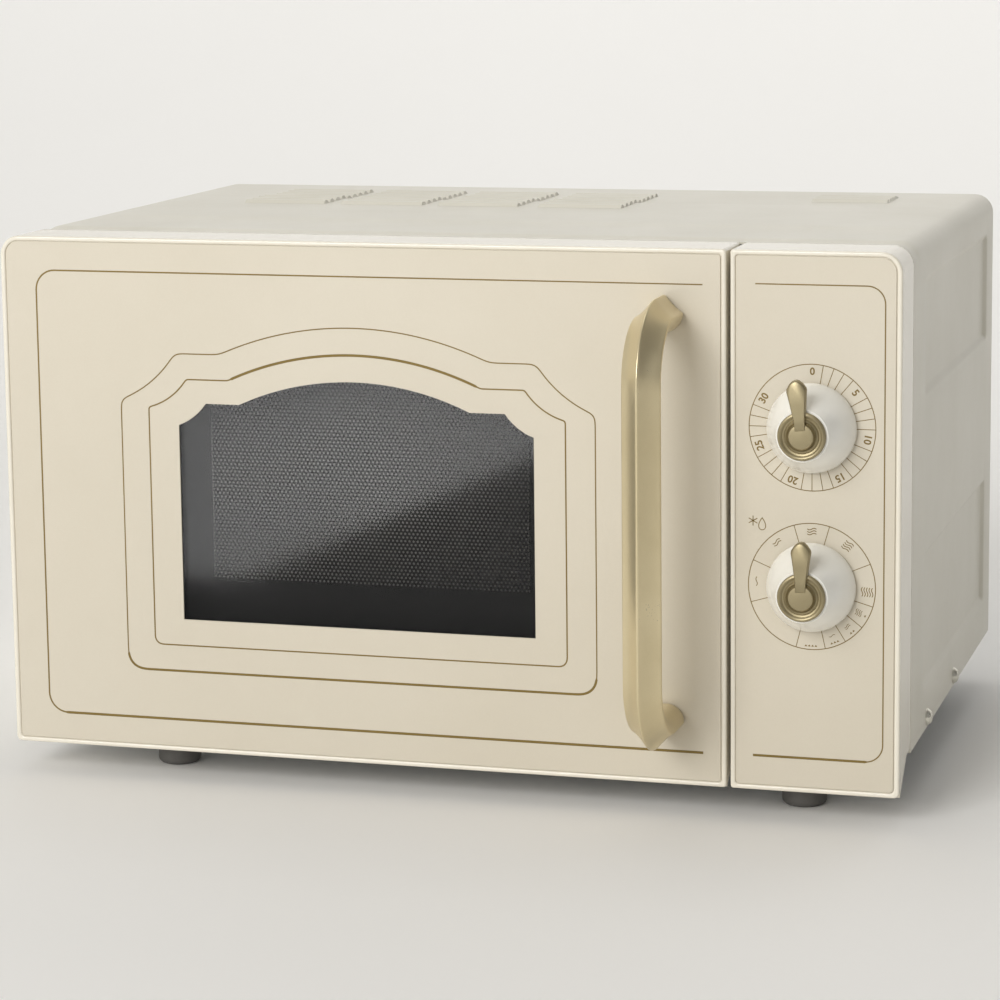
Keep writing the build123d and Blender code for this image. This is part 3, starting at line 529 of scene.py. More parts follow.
# Pressed mica: flaky tan plates with a low pearly sheen.
MICA = Finish("mica_sheet", "C8B592", "AD976F", Texture.SPANGLE, 5.0, 0.02,
              rough=(0.3, 0.5))
# Enamelled wire wound turn by turn: fine copper ridges, glossy along each turn.
COPPER = Finish("enamelled_copper_wire", "B4683A", "8C4B26", Texture.WOUND, 0.9, 0.2,
                rough=(0.25, 0.4), metallic=0.9)
# Moulded polypropylene: dull dark grey with a spark-eroded grain.
GREY_PP = Finish("grey_polypropylene", "5A5955", "4A4945", Texture.GRAIN, 0.5, 0.015,
                 rough=(0.45, 0.6))
# White connector plastic: even and matt, a little chalky.
WHITE_PBT = Finish("white_pbt", "E4E2DA", "D6D3C9", Texture.GRAIN, 0.5, 0.012,
                   rough=(0.4, 0.55))
# Red switch plungers: the one strong colour of the inside.
RED_PBT = Finish("red_pbt", "A32A22", "86201A", Texture.GRAIN, 0.4, 0.01, rough=(0.35, 0.5))
# Moulded rubber of the feet: matt grey with a dusty bloom.
FOOT_RUBBER = Finish("grey_rubber", "6A6865", "575552", Texture.GRAIN, 0.7, 0.03,
                     patch_mm=12, rough=(0.6, 0.78))
# Turned shafts: fine rings that stretch the highlights.
BRIGHT_STEEL = Finish("turned_steel", "B9B8B4", "9F9E9A", Texture.BRUSHED, 0.3, 0.004,
                      rough=(0.2, 0.35), metallic=1.0)
# Heater sheath after many heatings: dull brown-grey oxide.
SHEATH = Finish("oxidised_heater_sheath", "6E6963", "4F4A45", Texture.BRUSHED, 0.8, 0.01,
                rough=(0.4, 0.6), metallic=0.8)
# Glass-epoxy board under green solder mask: flat green with the weave just showing.
BOARD = Finish("green_glass_epoxy", "2C5E3B", "234C30", Texture.GRAIN, 0.9, 0.01,
               rough=(0.3, 0.5))
# Matt card under and behind the oven: pale, with no sheen of its own.
BACKDROP = Finish("matt_backdrop_card", "FBFAF8", "F8F7F5", Texture.GRAIN, 3.0, 0.01,
                  patch_mm=900, rough=(0.7, 0.8))
SLOT_FINISH = {
    "cream_casing": CASING_PAINT, "ivory_frame": IVORY_ABS, "cream_face": FACE_LACQUER,
    "smoked_glass": SMOKED_GLASS, "turntable_glass": CLEAR_GLASS, "lamp_glass": WARM_BULB,
    "champagne_metal": CHAMPAGNE, "white_knob": KNOB_ABS, "galvanised_steel": ZINC_SHEET,
    "zinc_screws": BRIGHT_ZINC, "cavity_enamel": ENAMEL, "screen_black": SCREEN_PAINT,
    "mica": MICA, "copper_windings": COPPER, "grey_plastic": GREY_PP,
    "white_plastic": WHITE_PBT, "red_plastic": RED_PBT, "foot_rubber": FOOT_RUBBER,
    "shaft_steel": BRIGHT_STEEL, "element_steel": SHEATH, "board_green": BOARD,
}


def dress(piece: bpy.types.Object, finish: Finish, body: str,
          nodes: Sequence[str] = ()) -> bpy.types.Object:
    """Gives a new piece its finish and ties it to its body.

    Args:
        piece: The new piece.
        finish: Its surface.
        body: The body it rides on.
        nodes: The nodes it stands for.

    Returns:
        The piece.
    """
    piece.data.materials.clear()
    piece.data.materials.append(finish.material())
    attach(piece, body)
    if nodes:
        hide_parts(*nodes)
    LOG.info("%s: %d faces on %s", piece.name, len(piece.data.polygons), body)
    return piece


# ------------------------------------------------------------------ the oven's sub-assemblies
@dataclass
class Carried:
    """The frame's own solids, which keep their shape and get their real surface."""

    frame: dict

    def dress(self) -> None:
        """Assigns each node the finish of its slot."""
        slots = {s["node"]: s["material_slot"] for s in self.frame["record"]["subparts"]}
        for node, piece in self.frame["nodes"].items():
            finish = SLOT_FINISH[slots[node]].material()
            piece.data.materials.clear()
            piece.data.materials.append(finish)
            LOG.info("%s: %s", node, finish.name)


@dataclass(frozen=True)
class Louvres:
    """A group of louvres in the casing's top, one slot behind another."""

    left: float
    right: float
    start: float = 184.0
    pitch: float = 9.6
    slot: float = 4.4                # how far the hood runs back to its slot
    rows: int = 9
    lines: tuple = (-1.2, -0.4, 0.4, 1.2, 4.4, 6.0)      # depth lines round each hood

    def starts(self) -> list[float]:
        """Depths at which the hoods begin, one for each row."""
        return [self.start + row * self.pitch for row in range(self.rows)]


@dataclass
class Casing:
    """Wrapped steel casing: pressed side panels, louvred top, shallow front joggle."""

    front: float = 32.6
    back: float = 308.0
    low: float = 14.0
    corner: float = 10.0
    sheet: float = 1.0
    louvres: tuple = (Louvres(-165.7, -119.9), Louvres(-110.1, -64.1), Louvres(-54.5, -10.5),
                      Louvres(1.5, 47.0),
                      Louvres(138.0, 179.0, 246.0, 7.5, 3.6, 4, (-0.8, 0.0, 3.6)))
    hood: float = 1.7                # height of a louvre's hood
    hood_rise: float = 2.4           # depth over which the hood rises
    slit: float = 1.7                # open depth behind a hood
    presses: tuple = ((35.0, 105.0), (182.0, 241.0))     # low and high edge on each side
    press_run: tuple = (70.0, 286.0)
    press: float = 2.0
    press_edge: float = 4.0          # width of a press's sloping edge
    plateau: tuple = ((-216.0, 216.0), (100.0, 224.0))   # raised field of the top
    plateau_lines: tuple = (206.0, 212.0)                # lines across on its slopes
    plateau_rise: float = 0.9
    joggle: tuple = (33.4, 54.0)     # dip behind the bezel
    joggle_drop: float = 1.3
    long_edge: float = 8.0           # width of the plateau's and the joggle's slopes

    def slope(self) -> np.ndarray:
        """Steps down a press's sloping edge, as distances from the edge."""
        return np.linspace(0, self.press_edge, 6)

    def outline(self) -> tuple[np.ndarray, np.ndarray, np.ndarray]:
        """The inverted U, from the lower left edge over the top to the lower right edge.

        Returns:
            Places across, heights, and the outward normals as an array of pairs.
        """
        inner_x, inner_h = HALF_W - self.corner, FACE_H - self.corner
        marks = [self.low, inner_h]
        for low, high in self.presses:
            marks += [*(low + self.slope()), *(high - self.slope())]
        side = np.unique(marks)
        marks = [0.0, *self.plateau_lines, *(-line for line in self.plateau_lines)]
        for group in self.louvres:
            marks += [group.left - 0.8, group.left, group.right, group.right + 0.8]
        flat = np.unique(np.r_[marks, np.linspace(-inner_x, inner_x, 24)])
        turn = np.radians(np.linspace(0, 90, 9))[1:-1]
        x = np.r_[0 * side - HALF_W, -inner_x - self.corner * np.cos(turn), flat,
                  inner_x + self.corner * np.sin(turn), 0 * side + HALF_W]
        h = np.r_[side, inner_h + self.corner * np.sin(turn), 0 * flat + FACE_H,
                  inner_h + self.corner * np.cos(turn), side[::-1]]
        nx = np.r_[0 * side - 1, -np.cos(turn), 0 * flat, np.sin(turn), 0 * side + 1]
        nh = np.r_[0 * side, np.sin(turn), 0 * flat + 1, np.cos(turn), 0 * side]
        return x, h, np.stack([nx, nh], -1)

    def depths(self) -> np.ndarray:
        """Depth lines: dense at the presses' edges, at each louvre and at the joggle.

        Returns:
            The depths, in order.
        """
        start, stop = self.press_run
        dip, dip_end = self.joggle
        near, far = self.plateau[1]
        long_slope = np.linspace(0, self.long_edge, 3)
        marks = [self.front, dip, dip + 1.0, *(dip_end - np.linspace(0, 10, 6)),
                 *(near + long_slope), *(far - long_slope),
                 *(start + self.slope()), *(stop - self.slope()), self.back]
        for group in self.louvres:
            marks += [hood + line for hood in group.starts() for line in group.lines]
        return np.unique(np.round(np.r_[marks, np.linspace(60, 300, 13)], 2))

    @staticmethod
    def ramp(value: np.ndarray, low: float, high: float, width: float) -> np.ndarray:
        """One between low and high, easing to zero as 3 t^2 - 2 t^3 over the width inside."""
        rise = np.clip((value - low) / width, 0, 1) * np.clip((high - value) / width, 0, 1)
        return rise * rise * (3 - 2 * rise)

    def build(self) -> bpy.types.Object:
        """Carries the outline along the depth and pushes it in where it is pressed.

        The shift along the normal is minus the press depth inside each side panel, minus the
        joggle near the front of the top, plus a low plateau over the top, plus a louvre's hood
        ahead of each slot. Cells inside a slot are left out.

        Returns:
            The casing piece.
        """
        x, h, normal = self.outline()
        d = self.depths()
        xx, dd = np.meshgrid(x, d)
        hh = np.broadcast_to(h, xx.shape)
        on_side = np.abs(normal[:, 0]) > 0.99
        on_top = normal[:, 1] > 0.99
        shift = np.zeros_like(xx)
        along = self.ramp(dd, *self.press_run, self.press_edge)
        for low, high in self.presses:
            shift -= self.press * along * self.ramp(hh, low, high, self.press_edge) * on_side
        across, behind = self.plateau
        shift += (self.plateau_rise * self.ramp(dd, *behind, self.long_edge)
                  * self.ramp(xx, *across, self.long_edge) * on_top)
        dip = self.ramp(dd, *self.joggle, self.long_edge)
        shift -= self.joggle_drop * dip * np.clip(normal[:, 1], 0, 1)
        keep = np.ones((len(d) - 1, len(x) - 1), bool)
        mid_x, mid_d = (x[1:] + x[:-1]) / 2, (d[1:] + d[:-1]) / 2
        top_cell = on_top[1:] & on_top[:-1]
        for group in self.louvres:
            covered = (xx >= group.left) & (xx <= group.right) & on_top
            open_x = (mid_x > group.left) & (mid_x < group.right) & top_cell
            for start in group.starts():
                foot, slot = start - self.hood_rise / 2, start + group.slot
                hood = np.clip((dd - foot) / self.hood_rise, 0, 1) * (dd <= slot + 0.1)
                shift += np.where(covered, self.hood * hood, 0)
                open_d = (mid_d > slot) & (mid_d < slot + self.slit)
                keep &= ~(open_d[:, None] & open_x[None])
        points = world(xx + shift * normal[:, 0], dd, hh + shift * normal[:, 1])
        piece = new_object("casing_wrap", points, grid_faces(len(d), len(x), keep=keep))
        if piece.data.polygons[0].normal.x > 0:
            piece.data.flip_normals()
        modify(piece, "SOLIDIFY", thickness=self.sheet * MM, offset=-1.0)
        modify(piece, "EDGE_SPLIT", split_angle=math.radians(24))
        return dress(piece, CASING_PAINT, "cabinet", ["outer_casing"])

    def build_flanges(self) -> bpy.types.Object:
        """Rear return flange, a flat band just inside the casing's rear edge.

        Returns:
            The flange piece.
        """
        x, h, normal = self.outline()
        rings = [world(x - inset * normal[:, 0], self.back - 0.05, h - inset * normal[:, 1])
                 for inset in (0.3, 9.5)]
        piece = new_object("casing_rear_flange", np.array(rings), grid_faces(2, len(x)))
        if piece.data.polygons[0].normal.y < 0:
            piece.data.flip_normals()
        modify(piece, "SOLIDIFY", thickness=self.sheet * MM, offset=-1.0)
        return dress(piece, CASING_PAINT, "cabinet")


@dataclass
class Screws:
    """Pan-head cross-slot screws on both sides and at the rear."""

    side_depths: tuple = (84.2, 173.8)
    side_height: float = 19.2
    side_head: tuple = (4.4, 2.7)    # radius and rise
    rear: tuple = ((-219, 60), (-219, 200), (219, 60), (219, 200), (-120, 254), (120, 254))
    rear_depth: float = 308.0
    rear_head: tuple = (3.6, 1.9)
    cross_half: float = 0.5          # half width of the cross slot's arms
    cross_reach: float = 0.55        # the arms' length as a share of the head's radius
    cross_deep: float = 0.6
    skirt: float = -0.4              # how far the rim reaches below the surface

    def head(self, radius: float, rise: float) -> tuple[np.ndarray, np.ndarray, np.ndarray]:
        """Domed head: height rises as 1 - (r/R)^4, sunk inside the cross.

        Args:
            radius: Head radius.
            rise: Height of the dome.

        Returns:
            Two in-plane coordinates and the height, each a grid.
        """
        r = (np.r_[0.0, np.linspace(0.12, 1, 12), 1.0] * radius)[:, None]
        angle = np.arange(48) * math.tau / 48
        a, b = r * np.cos(angle), r * np.sin(angle)
        lift = rise * (1 - (r / radius) ** 4) + 0 * a
        arms = (np.abs(a) < self.cross_half) | (np.abs(b) < self.cross_half)
        cross = arms & (np.hypot(a, b) < self.cross_reach * radius)
        lift = np.where(cross, lift - self.cross_deep, lift)
        lift[-1] = self.skirt
        return a, b, lift

    def build(self) -> bpy.types.Object:
        """Places every head on its surface.

        Returns:
            The screw heads as one piece.
        """
        parts = []
        a, b, lift = self.head(*self.side_head)
        for sign in (-1, 1):
            for number, depth in enumerate(self.side_depths):
                rings = world(sign * (HALF_W + lift), depth + a, self.side_height + b)
                parts.append(loft(f"side_head_{sign}_{number}", rings))
        a, b, lift = self.head(*self.rear_head)
        for number, (x, height) in enumerate(self.rear):
            rings = world(x + a, self.rear_depth + lift, height + b)
            parts.append(loft(f"rear_head_{number}", rings))
        piece = joined("casing_screw_heads", parts)
        return dress(piece, BRIGHT_ZINC, "cabinet", ["casing_screws"])


@dataclass(frozen=True)
class ArchLine:
    """An arched line round the window, thin with one heavier stretch.

    Straight sides rise to a hollow cove, a flat shoulder leads to the arch, and the arch is the
    circle through both shoulder ends and the apex.
    """

    half: float                      # half width
    low: float                       # height of the bottom run
    radius: float                    # of the lower corners
    side: float                      # height where the side ends
    cove: tuple[float, float]        # offset and height of the cove's middle
    shoulder: float                  # offset where the cove meets the shoulder
    top: float                       # height of the shoulder
    inner: float                     # offset where the shoulder ends
    apex: float                      # height of the arch
    passes: int                      # averaging passes that ease the corners
    thin: float
    thick: float
    heavy: tuple[float, float]       # heights between which the line is thick

    def outline(self, cx: float) -> np.ndarray:
        """The line's path, anticlockwise from the lower right corner.

        Args:
            cx: The window's middle across.

        Returns:
            The closed outline's points, about 1 mm apart.
        """
        side = arc(cx + self.half - self.radius, self.low + self.radius, self.radius, -90, 0, 8)
        side += arc_through((cx + self.half, self.side), (cx + self.cove[0], self.cove[1]),
                            (cx + self.shoulder, self.top))
        crown = arc_through((cx + self.inner, self.top), (cx, self.apex),
                            (cx - self.inner, self.top), 40)
        left = [(2 * cx - x, h) for x, h in side][::-1]
        return smooth_line(side + crown + left + side[:1], 1.0, self.passes, closed=True)

    def width(self, line: np.ndarray) -> np.ndarray:
        """Line width at each point of the path."""
        low, high = self.heavy
        return np.where((line[:, 1] > low) & (line[:, 1] < high), self.thick, self.thin)


@dataclass
class Door:
    """Door dressing: printed lines, perforated screen and the film behind it."""

    window_x: float = -42.1
    arches: tuple = (
        ArchLine(107.4, 54.9, 4.0, 175.6, (95.8, 181.0), 87.2, 190.0, 65.2, 204.4, 1, 0.7, 1.3,
                 (191.0, FACE_H)),
        ArchLine(122.2, 41.6, 8.0, 179.0, (104.6, 189.4), 93.0, 202.8, 69.6, 217.8, 12, 0.6, 1.2,
                 (0.0, 50.0)))
    border_left: float = -208.5
    border_right: float = 132.7
    border_low: float = 16.5
    border_high: float = 243.0
    border_round: float = 10.0
    border_width: tuple = (1.3, 0.8, 0.6)                # along the bottom, round, at the top
    dots: float = 2.15               # hole spacing of the screen
    hole: float = 0.5                # hole radius as a share of the cell's radius
    screen: tuple = (-125.0, 41.0, 86.0, 190.5)          # left, right, low and high edge
    screen_depth: float = 20.0
    sheet: float = 0.5
    film: float = 0.1
    film_gap: float = 0.45           # from the screen's depth back to the film's middle
    pan: tuple = (-211.9, 127.9, 24.0, 244.0)            # left, right, low and high edge
    pan_depth: float = 28.8          # where the pan's folded walls end
    lip: float = 1.0                 # width that a folded wall takes up
    shelf: float = 22.0              # width of the pan's shelf above and below
    shelf_side: float = 26.0         # width of the shelf at both sides
    open_in: tuple = (0.4, 0.6)      # from the holed field's edges to the pan's opening

    def build_lines(self) -> bpy.types.Object:
        """Prints the outer border, open to the right, and the two arched lines.

        Returns:
            The printed lines as one piece.
        """
        r = self.border_round
        border = [(self.border_right, self.border_low)]
        border += arc(self.border_left + r, self.border_low + r, r, 270, 180)
        border += arc(self.border_left + r, self.border_high - r, r, 180, 90)
        border += [(self.border_right, self.border_high)]
        bottom, around, top = self.border_width
        parts = [ribbon("border", border, [bottom] * 2 + [around] * (len(border) - 3) + [top])]
        for number, arch in enumerate(self.arches):
            line = arch.outline(self.window_x)
            parts.append(ribbon(f"arch_{number}", line, arch.width(line), closed=True))
        piece = joined("door_printed_lines", parts)
        return dress(piece, GOLD_INK, "door")

    def build_screen(self) -> bpy.types.Object:
        """Perforated sheet: hexagon cells in staggered rows, each with a six-sided hole.

        A cell's ring runs between its outer hexagon and a smaller one; six quads fill it, so
        neighbours share their outer edges and the sheet is whole between the holes.

        Returns:
            The holed sheet.
        """
        x0, x1, h0, h1 = self.screen
        rise = self.dots * math.sqrt(3) / 2
        cols, rows = int((x1 - x0) / self.dots), int((h1 - h0) / rise)
        col, row = np.meshgrid(np.arange(cols), np.arange(rows))
        cx = x0 + (col + 0.5 * (row % 2) + 0.5) * self.dots
        ch = h0 + (row + 0.5) * rise
        angle = np.radians(np.arange(6) * 60 + 30)
        outer = self.dots / math.sqrt(3)
        rings = [world(cx[..., None] + radius * np.cos(angle), self.screen_depth + SHEET_FRONT,
                       ch[..., None] + radius * np.sin(angle))
                 for radius in (outer, outer * self.hole)]
        first = np.arange(cols * rows)[:, None] * 12
        k, after = np.arange(6), (np.arange(6) + 1) % 6
        quads = np.stack([first + k, first + after, first + 6 + after, first + 6 + k], -1)
        piece = new_object("door_screen_holes", np.stack(rings, 2), quads.reshape(-1, 4))
        return dress(piece, SCREEN_PAINT, "door", ["door_screen"])

    def build_film(self) -> bpy.types.Object:
        """Thin milky film just behind the holed sheet.

        Returns:
            The film.
        """
        x0, x1, h0, h1 = self.screen
        corners = world(np.array([x0, x1, x1, x0]), self.screen_depth + self.film_gap,
                        np.array([h0, h0, h1, h1]))
        piece = new_object("door_inner_film", corners, [(0, 1, 2, 3)])
        modify(piece, "SOLIDIFY", thickness=self.film * MM, offset=0.0)
        return dress(piece, INNER_FILM, "door")

    def pan_lines(self, low: float, high: float, field_low: float, field_high: float,
                  shelf: float) -> np.ndarray:
        """Ten fold lines across the pan: rim, wall, shelf and opening, then the same back."""
        steps = np.array([0.0, self.lip, shelf, shelf + self.lip])
        return np.r_[low + steps, field_low, field_high, (high - steps)[::-1]]

    def build_pan(self) -> bpy.types.Object:
        """The screen's folded pan: a rim, a groove round it and an opening for the holes.

        Depth is the walls' end on the rim's edge and on the inner fold lines, and the sheet's
        own depth everywhere else.

        Returns:
            The pan.
        """
        x0, x1, h0, h1 = self.screen
        left, right, low, high = self.pan
        lap, lap_right = self.open_in
        xs = self.pan_lines(left, right, x0 + lap, x1 + lap_right, self.shelf_side)
        hs = self.pan_lines(low, high, h0 + lap, h1 - lap_right, self.shelf)
        xx, hh = np.meshgrid(xs, hs)
        count = len(xs)
        fold = np.isin(np.arange(count), (0, count - 1, 2, count - 3))
        rim = np.isin(np.arange(count), (0, count - 1))
        inside = np.zeros(xx.shape, bool)
        inside[2:-2, 2:-2] = True
        wall = (fold[None] | fold[:, None]) & (inside | rim[None] | rim[:, None])
        depth = np.where(wall, self.pan_depth, self.screen_depth + SHEET_FRONT)
        keep = np.ones((count - 1, count - 1), bool)
        keep[count // 2 - 1, count // 2 - 1] = False
        piece = new_object("door_screen_pan", world(xx, depth, hh),
                           grid_faces(count, count, keep=keep))
        faceted(piece)
        modify(piece, "SOLIDIFY", thickness=self.sheet * MM, offset=0.0)
        return dress(piece, SCREEN_PAINT, "door", ["door_screen"])


@dataclass
class Handle:
    """Bow handle: one onion-shaped section carried out of the door, up and back."""

    x: float = 114.6
    low: float = 31.1                # height of the lower foot's middle
    high: float = 229.8
    out: float = 49.0                # how far the bar's middle stands before the face
    bend: float = 29.0
    half: float = 9.45
    ridge: float = 8.9
    sink: float = 0.2                # how far the feet reach into the face sheet

    def section(self) -> np.ndarray:
        """Half round on the inside, hollow sides rising to a ridge outside.

        Inside: a = R cos t, b = -R sin t.  Outside: a = R (1 - s), b = ridge s^1.4.  The
        loop's corners are eased by a three-point average.

        Returns:
            Points across and outward.
        """
        t = np.radians(np.linspace(180, 0, 25))
        inner = np.stack([self.half * np.cos(t), -self.half * np.sin(t)], -1)
        s = np.linspace(0, 1, 15)[1:]
        outer = np.stack([self.half * (1 - s), self.ridge * s ** 1.4], -1)
        loop = np.vstack([inner, outer, (outer[:-1] * [-1, 1])[::-1]])
        return (np.roll(loop, 1, 0) + 4 * loop + np.roll(loop, -1, 0)) / 6

    def build(self) -> bpy.types.Object:
        """Carries the section along legs, bends and bar.

        The path's outward direction turns from straight down at the lower foot, through
        forward along the bar, to straight up at the upper foot.

        Returns:
            The handle piece.
        """
        turn = np.radians(np.linspace(0, 90, 15))
        reach = self.out - self.bend
        leg = np.r_[self.sink, -np.linspace(2, reach - 1, 4)]
        depth = np.r_[leg, -(reach + self.bend * np.sin(turn))]
        height = np.r_[0 * leg + self.low, self.low + self.bend * (1 - np.cos(turn))]
        tilt = np.r_[0 * leg, turn]
        depth = np.r_[depth, depth[::-1]][:, None]
        height = np.r_[height, self.high + self.low - height[::-1]][:, None]
        tilt = np.r_[tilt, math.pi - tilt[::-1]][:, None]
        a, b = self.section().T
        piece = loft("bow_handle", world(self.x + a, depth - b * np.sin(tilt),
                                         height - b * np.cos(tilt)))
        modify(piece, "SUBSURF", levels=1, render_levels=1)
        return dress(piece, CHAMPAGNE, "door", ["handle"])


class Sign(Enum):
    """Generic pictograms of the power dial: waves heat, triangles brown."""

    WAVE = "microwave power"
    TRIANGLE = "grill"


@dataclass
class Dial:
    """One dial: skirt, ring cap, lever and the scale printed round it."""

    name: str
    body: str
    height: float
    ring: float                      # radius of the printed ring
    tilt: float = 0.0                # where the lever points, clockwise from the top
    scale_from: float = 20.5         # radius at which the spokes begin
    ring_line: float = 0.42
    spoke_line: float = 0.34
    bore: float = 3.1                # clears the dial's shaft
    skirt_back: tuple = (21.0, -0.8)                     # radius and depth
    skirt_flare: tuple = ((21.4, -1.1), (21.4, -2.6), (20.7, -5.4), (19.1, -9.5),
                          (16.9, -14.5), (14.7, -19.0), (13.1, -22.5), (12.3, -24.5))
    cap: tuple = ((0, -24.6), (11.0, -24.6), (11.4, -25.1), (11.4, -26.0), (11.0, -26.7),
                  (10.3, -27.0), (9.6, -26.8), (9.1, -26.2), (8.3, -26.0), (7.9, -26.6),
                  (7.4, -26.9), (6.9, -26.6), (6.5, -26.1), (6.2, -26.4), (6.1, -27.4),
                  (5.7, -27.9), (4.5, -28.1), (0, -28.1))
    blade_half: tuple = ((2.6, 2.5), (2.8, 8.0), (3.7, 15.0), (4.65, 21.4), (4.5, 22.6),
                         (2.9, 25.0), (1.4, 26.2))       # half width at a distance
    blade_tip: float = 26.6
    blade_middle: float = 14.0
    blade_edge: tuple = ((1.0, -24.9), (1.0, -27.5), (0.93, -28.1), (0.84, -28.4))

    def build_skirt(self) -> bpy.types.Object:
        """Turns the flared skirt: a flat back, an eased flare and a bore for the shaft.

        Returns:
            The skirt.
        """
        flare = smooth_line(self.skirt_flare, 0.8, 6)
        profile = [(self.bore, self.skirt_back[1]), self.skirt_back, *flare,
                   (self.bore, self.skirt_flare[-1][1])]
        piece = turned(f"{self.name}_dial_skirt", profile, DIAL_X, self.height, 96, closed=True)
        modify(piece, "EDGE_SPLIT", split_angle=math.radians(50))
        return dress(piece, KNOB_ABS, self.body, [f"{self.name}_skirt"])

    def build_lever(self) -> bpy.types.Object:
        """Turns the stepped ring cap and raises the lever's blade, whose rim is eased.

        Returns:
            The cap and the blade as one piece.
        """
        ring_cap = turned("cap", self.cap, DIAL_X, self.height, 64)
        outline = np.array([(-a, b) for a, b in self.blade_half] + [(0, self.blade_tip)]
                           + list(self.blade_half[::-1]))
        centre = np.array([0, self.blade_middle])
        c, s = math.cos(math.radians(self.tilt)), math.sin(math.radians(self.tilt))
        turn = np.array([[c, -s], [s, c]])
        rings = []
        for share, depth in self.blade_edge:
            shape = (centre + (outline - centre) * [share, 0.5 + 0.5 * share]) @ turn
            rings.append(world(DIAL_X + shape[:, 0], depth, self.height + shape[:, 1]))
        blade = loft("blade", np.array(rings))
        piece = joined(f"{self.name}_dial_lever", [ring_cap, blade])
        modify(piece, "EDGE_SPLIT", split_angle=math.radians(35))
        return dress(piece, LEVER_METAL, self.body, [f"{self.name}_lever"])

    def spot(self, radius: Any, angle: Any) -> np.ndarray:
        """Face point at a radius and an angle in degrees clockwise from the top."""
        a = np.radians(np.asarray(angle, float))
        return np.stack([DIAL_X + radius * np.sin(a), self.height + radius * np.cos(a)], -1)

    def scale(self, angles: Sequence[float]) -> list[bpy.types.Object]:
        """The ring printed round the dial and the radial lines inside it.

        Args:
            angles: Where the lines stand, clockwise from the top.

        Returns:
            The printed lines.
        """
        circle = self.spot(self.ring, np.linspace(0, 360, 121)[:-1])
        ends = np.array([self.scale_from, self.ring])
        return [ribbon("ring", circle, self.ring_line, closed=True),
                *(ribbon(f"spoke_{number}", self.spot(ends, angle), self.spoke_line)
                  for number, angle in enumerate(angles))]

    def text(self, words: str, angle: float, radius: float, size: float) -> bpy.types.Object:
        """A number standing outward at an angle, made a mesh.

        Args:
            words: The digits.
            angle: Clockwise from the top.
            radius: Middle of the digits from the axis.
            size: Font size.

        Returns:
            The number, in world coordinates.
        """
        curve = bpy.data.curves.new("digits", "FONT")
        curve.body, curve.size = words, size
        curve.align_x, curve.align_y = "CENTER", "CENTER"
        curve.extrude, curve.offset = 0.03, 0.12         # the offset makes the strokes bolder
        curve.resolution_u = 3
        holder = bpy.data.objects.new("digits", curve)
        bpy.context.scene.collection.objects.link(holder)
        bpy.context.view_layer.update()
        mesh = bpy.data.meshes.new_from_object(
            holder.evaluated_get(bpy.context.evaluated_depsgraph_get()))
        across, up, rise = np.array([v.co for v in mesh.vertices]).T
        faces = [list(p.vertices) for p in mesh.polygons]
        bpy.data.objects.remove(holder)
        turn = math.radians(angle)
        mid = self.spot(radius, angle)
        x = mid[0] + across * math.cos(turn) + up * math.sin(turn)
        h = mid[1] - across * math.sin(turn) + up * math.cos(turn)
        piece = new_object(f"digits_{words}", world(x, SHEET_FRONT - PRINT_SINK - rise, h), faces)
        faceted(piece)
        return piece

    def sign(self, kind: Sign, angle: float, radius: float, count: int,
             size: float = 1.0) -> list[bpy.types.Object]:
        """A stack of waves or a row of triangles, standing outward at an angle.

        A wave is b = 0.4 sin(2 pi a / length) along the tangent direction a.

        Args:
            kind: What to draw.
            angle: Clockwise from the top.
            radius: Middle of the sign from the axis.
            count: How many strokes.
            size: Scale of the strokes.

        Returns:
            The strokes.
        """
        turn = math.radians(angle)
        out = np.array([math.sin(turn), math.cos(turn)])
        across = np.array([math.cos(turn), -math.sin(turn)])
        length = 4.4 * size
        pitch = 1.2 if kind is Sign.WAVE else 2.0
        mid, strokes = self.spot(radius, angle), []
        for number in range(count):
            step = number - (count - 1) / 2
            if kind is Sign.WAVE:
                a = np.linspace(-length / 2, length / 2, 17)
                b = 0.4 * size * np.sin(math.tau * a / length) + step * pitch * size
                width = 0.4 * size
            else:
                a = (np.linspace(-0.8, 0.8, 3) + step * pitch) * size
                b = np.array([0.0, -0.5, 0.0]) * size
                width = np.array([0.05, 1.0, 0.05]) * size
            line = mid + a[:, None] * across + b[:, None] * out
            strokes.append(ribbon(f"stroke_{number}", line, width))
        return strokes


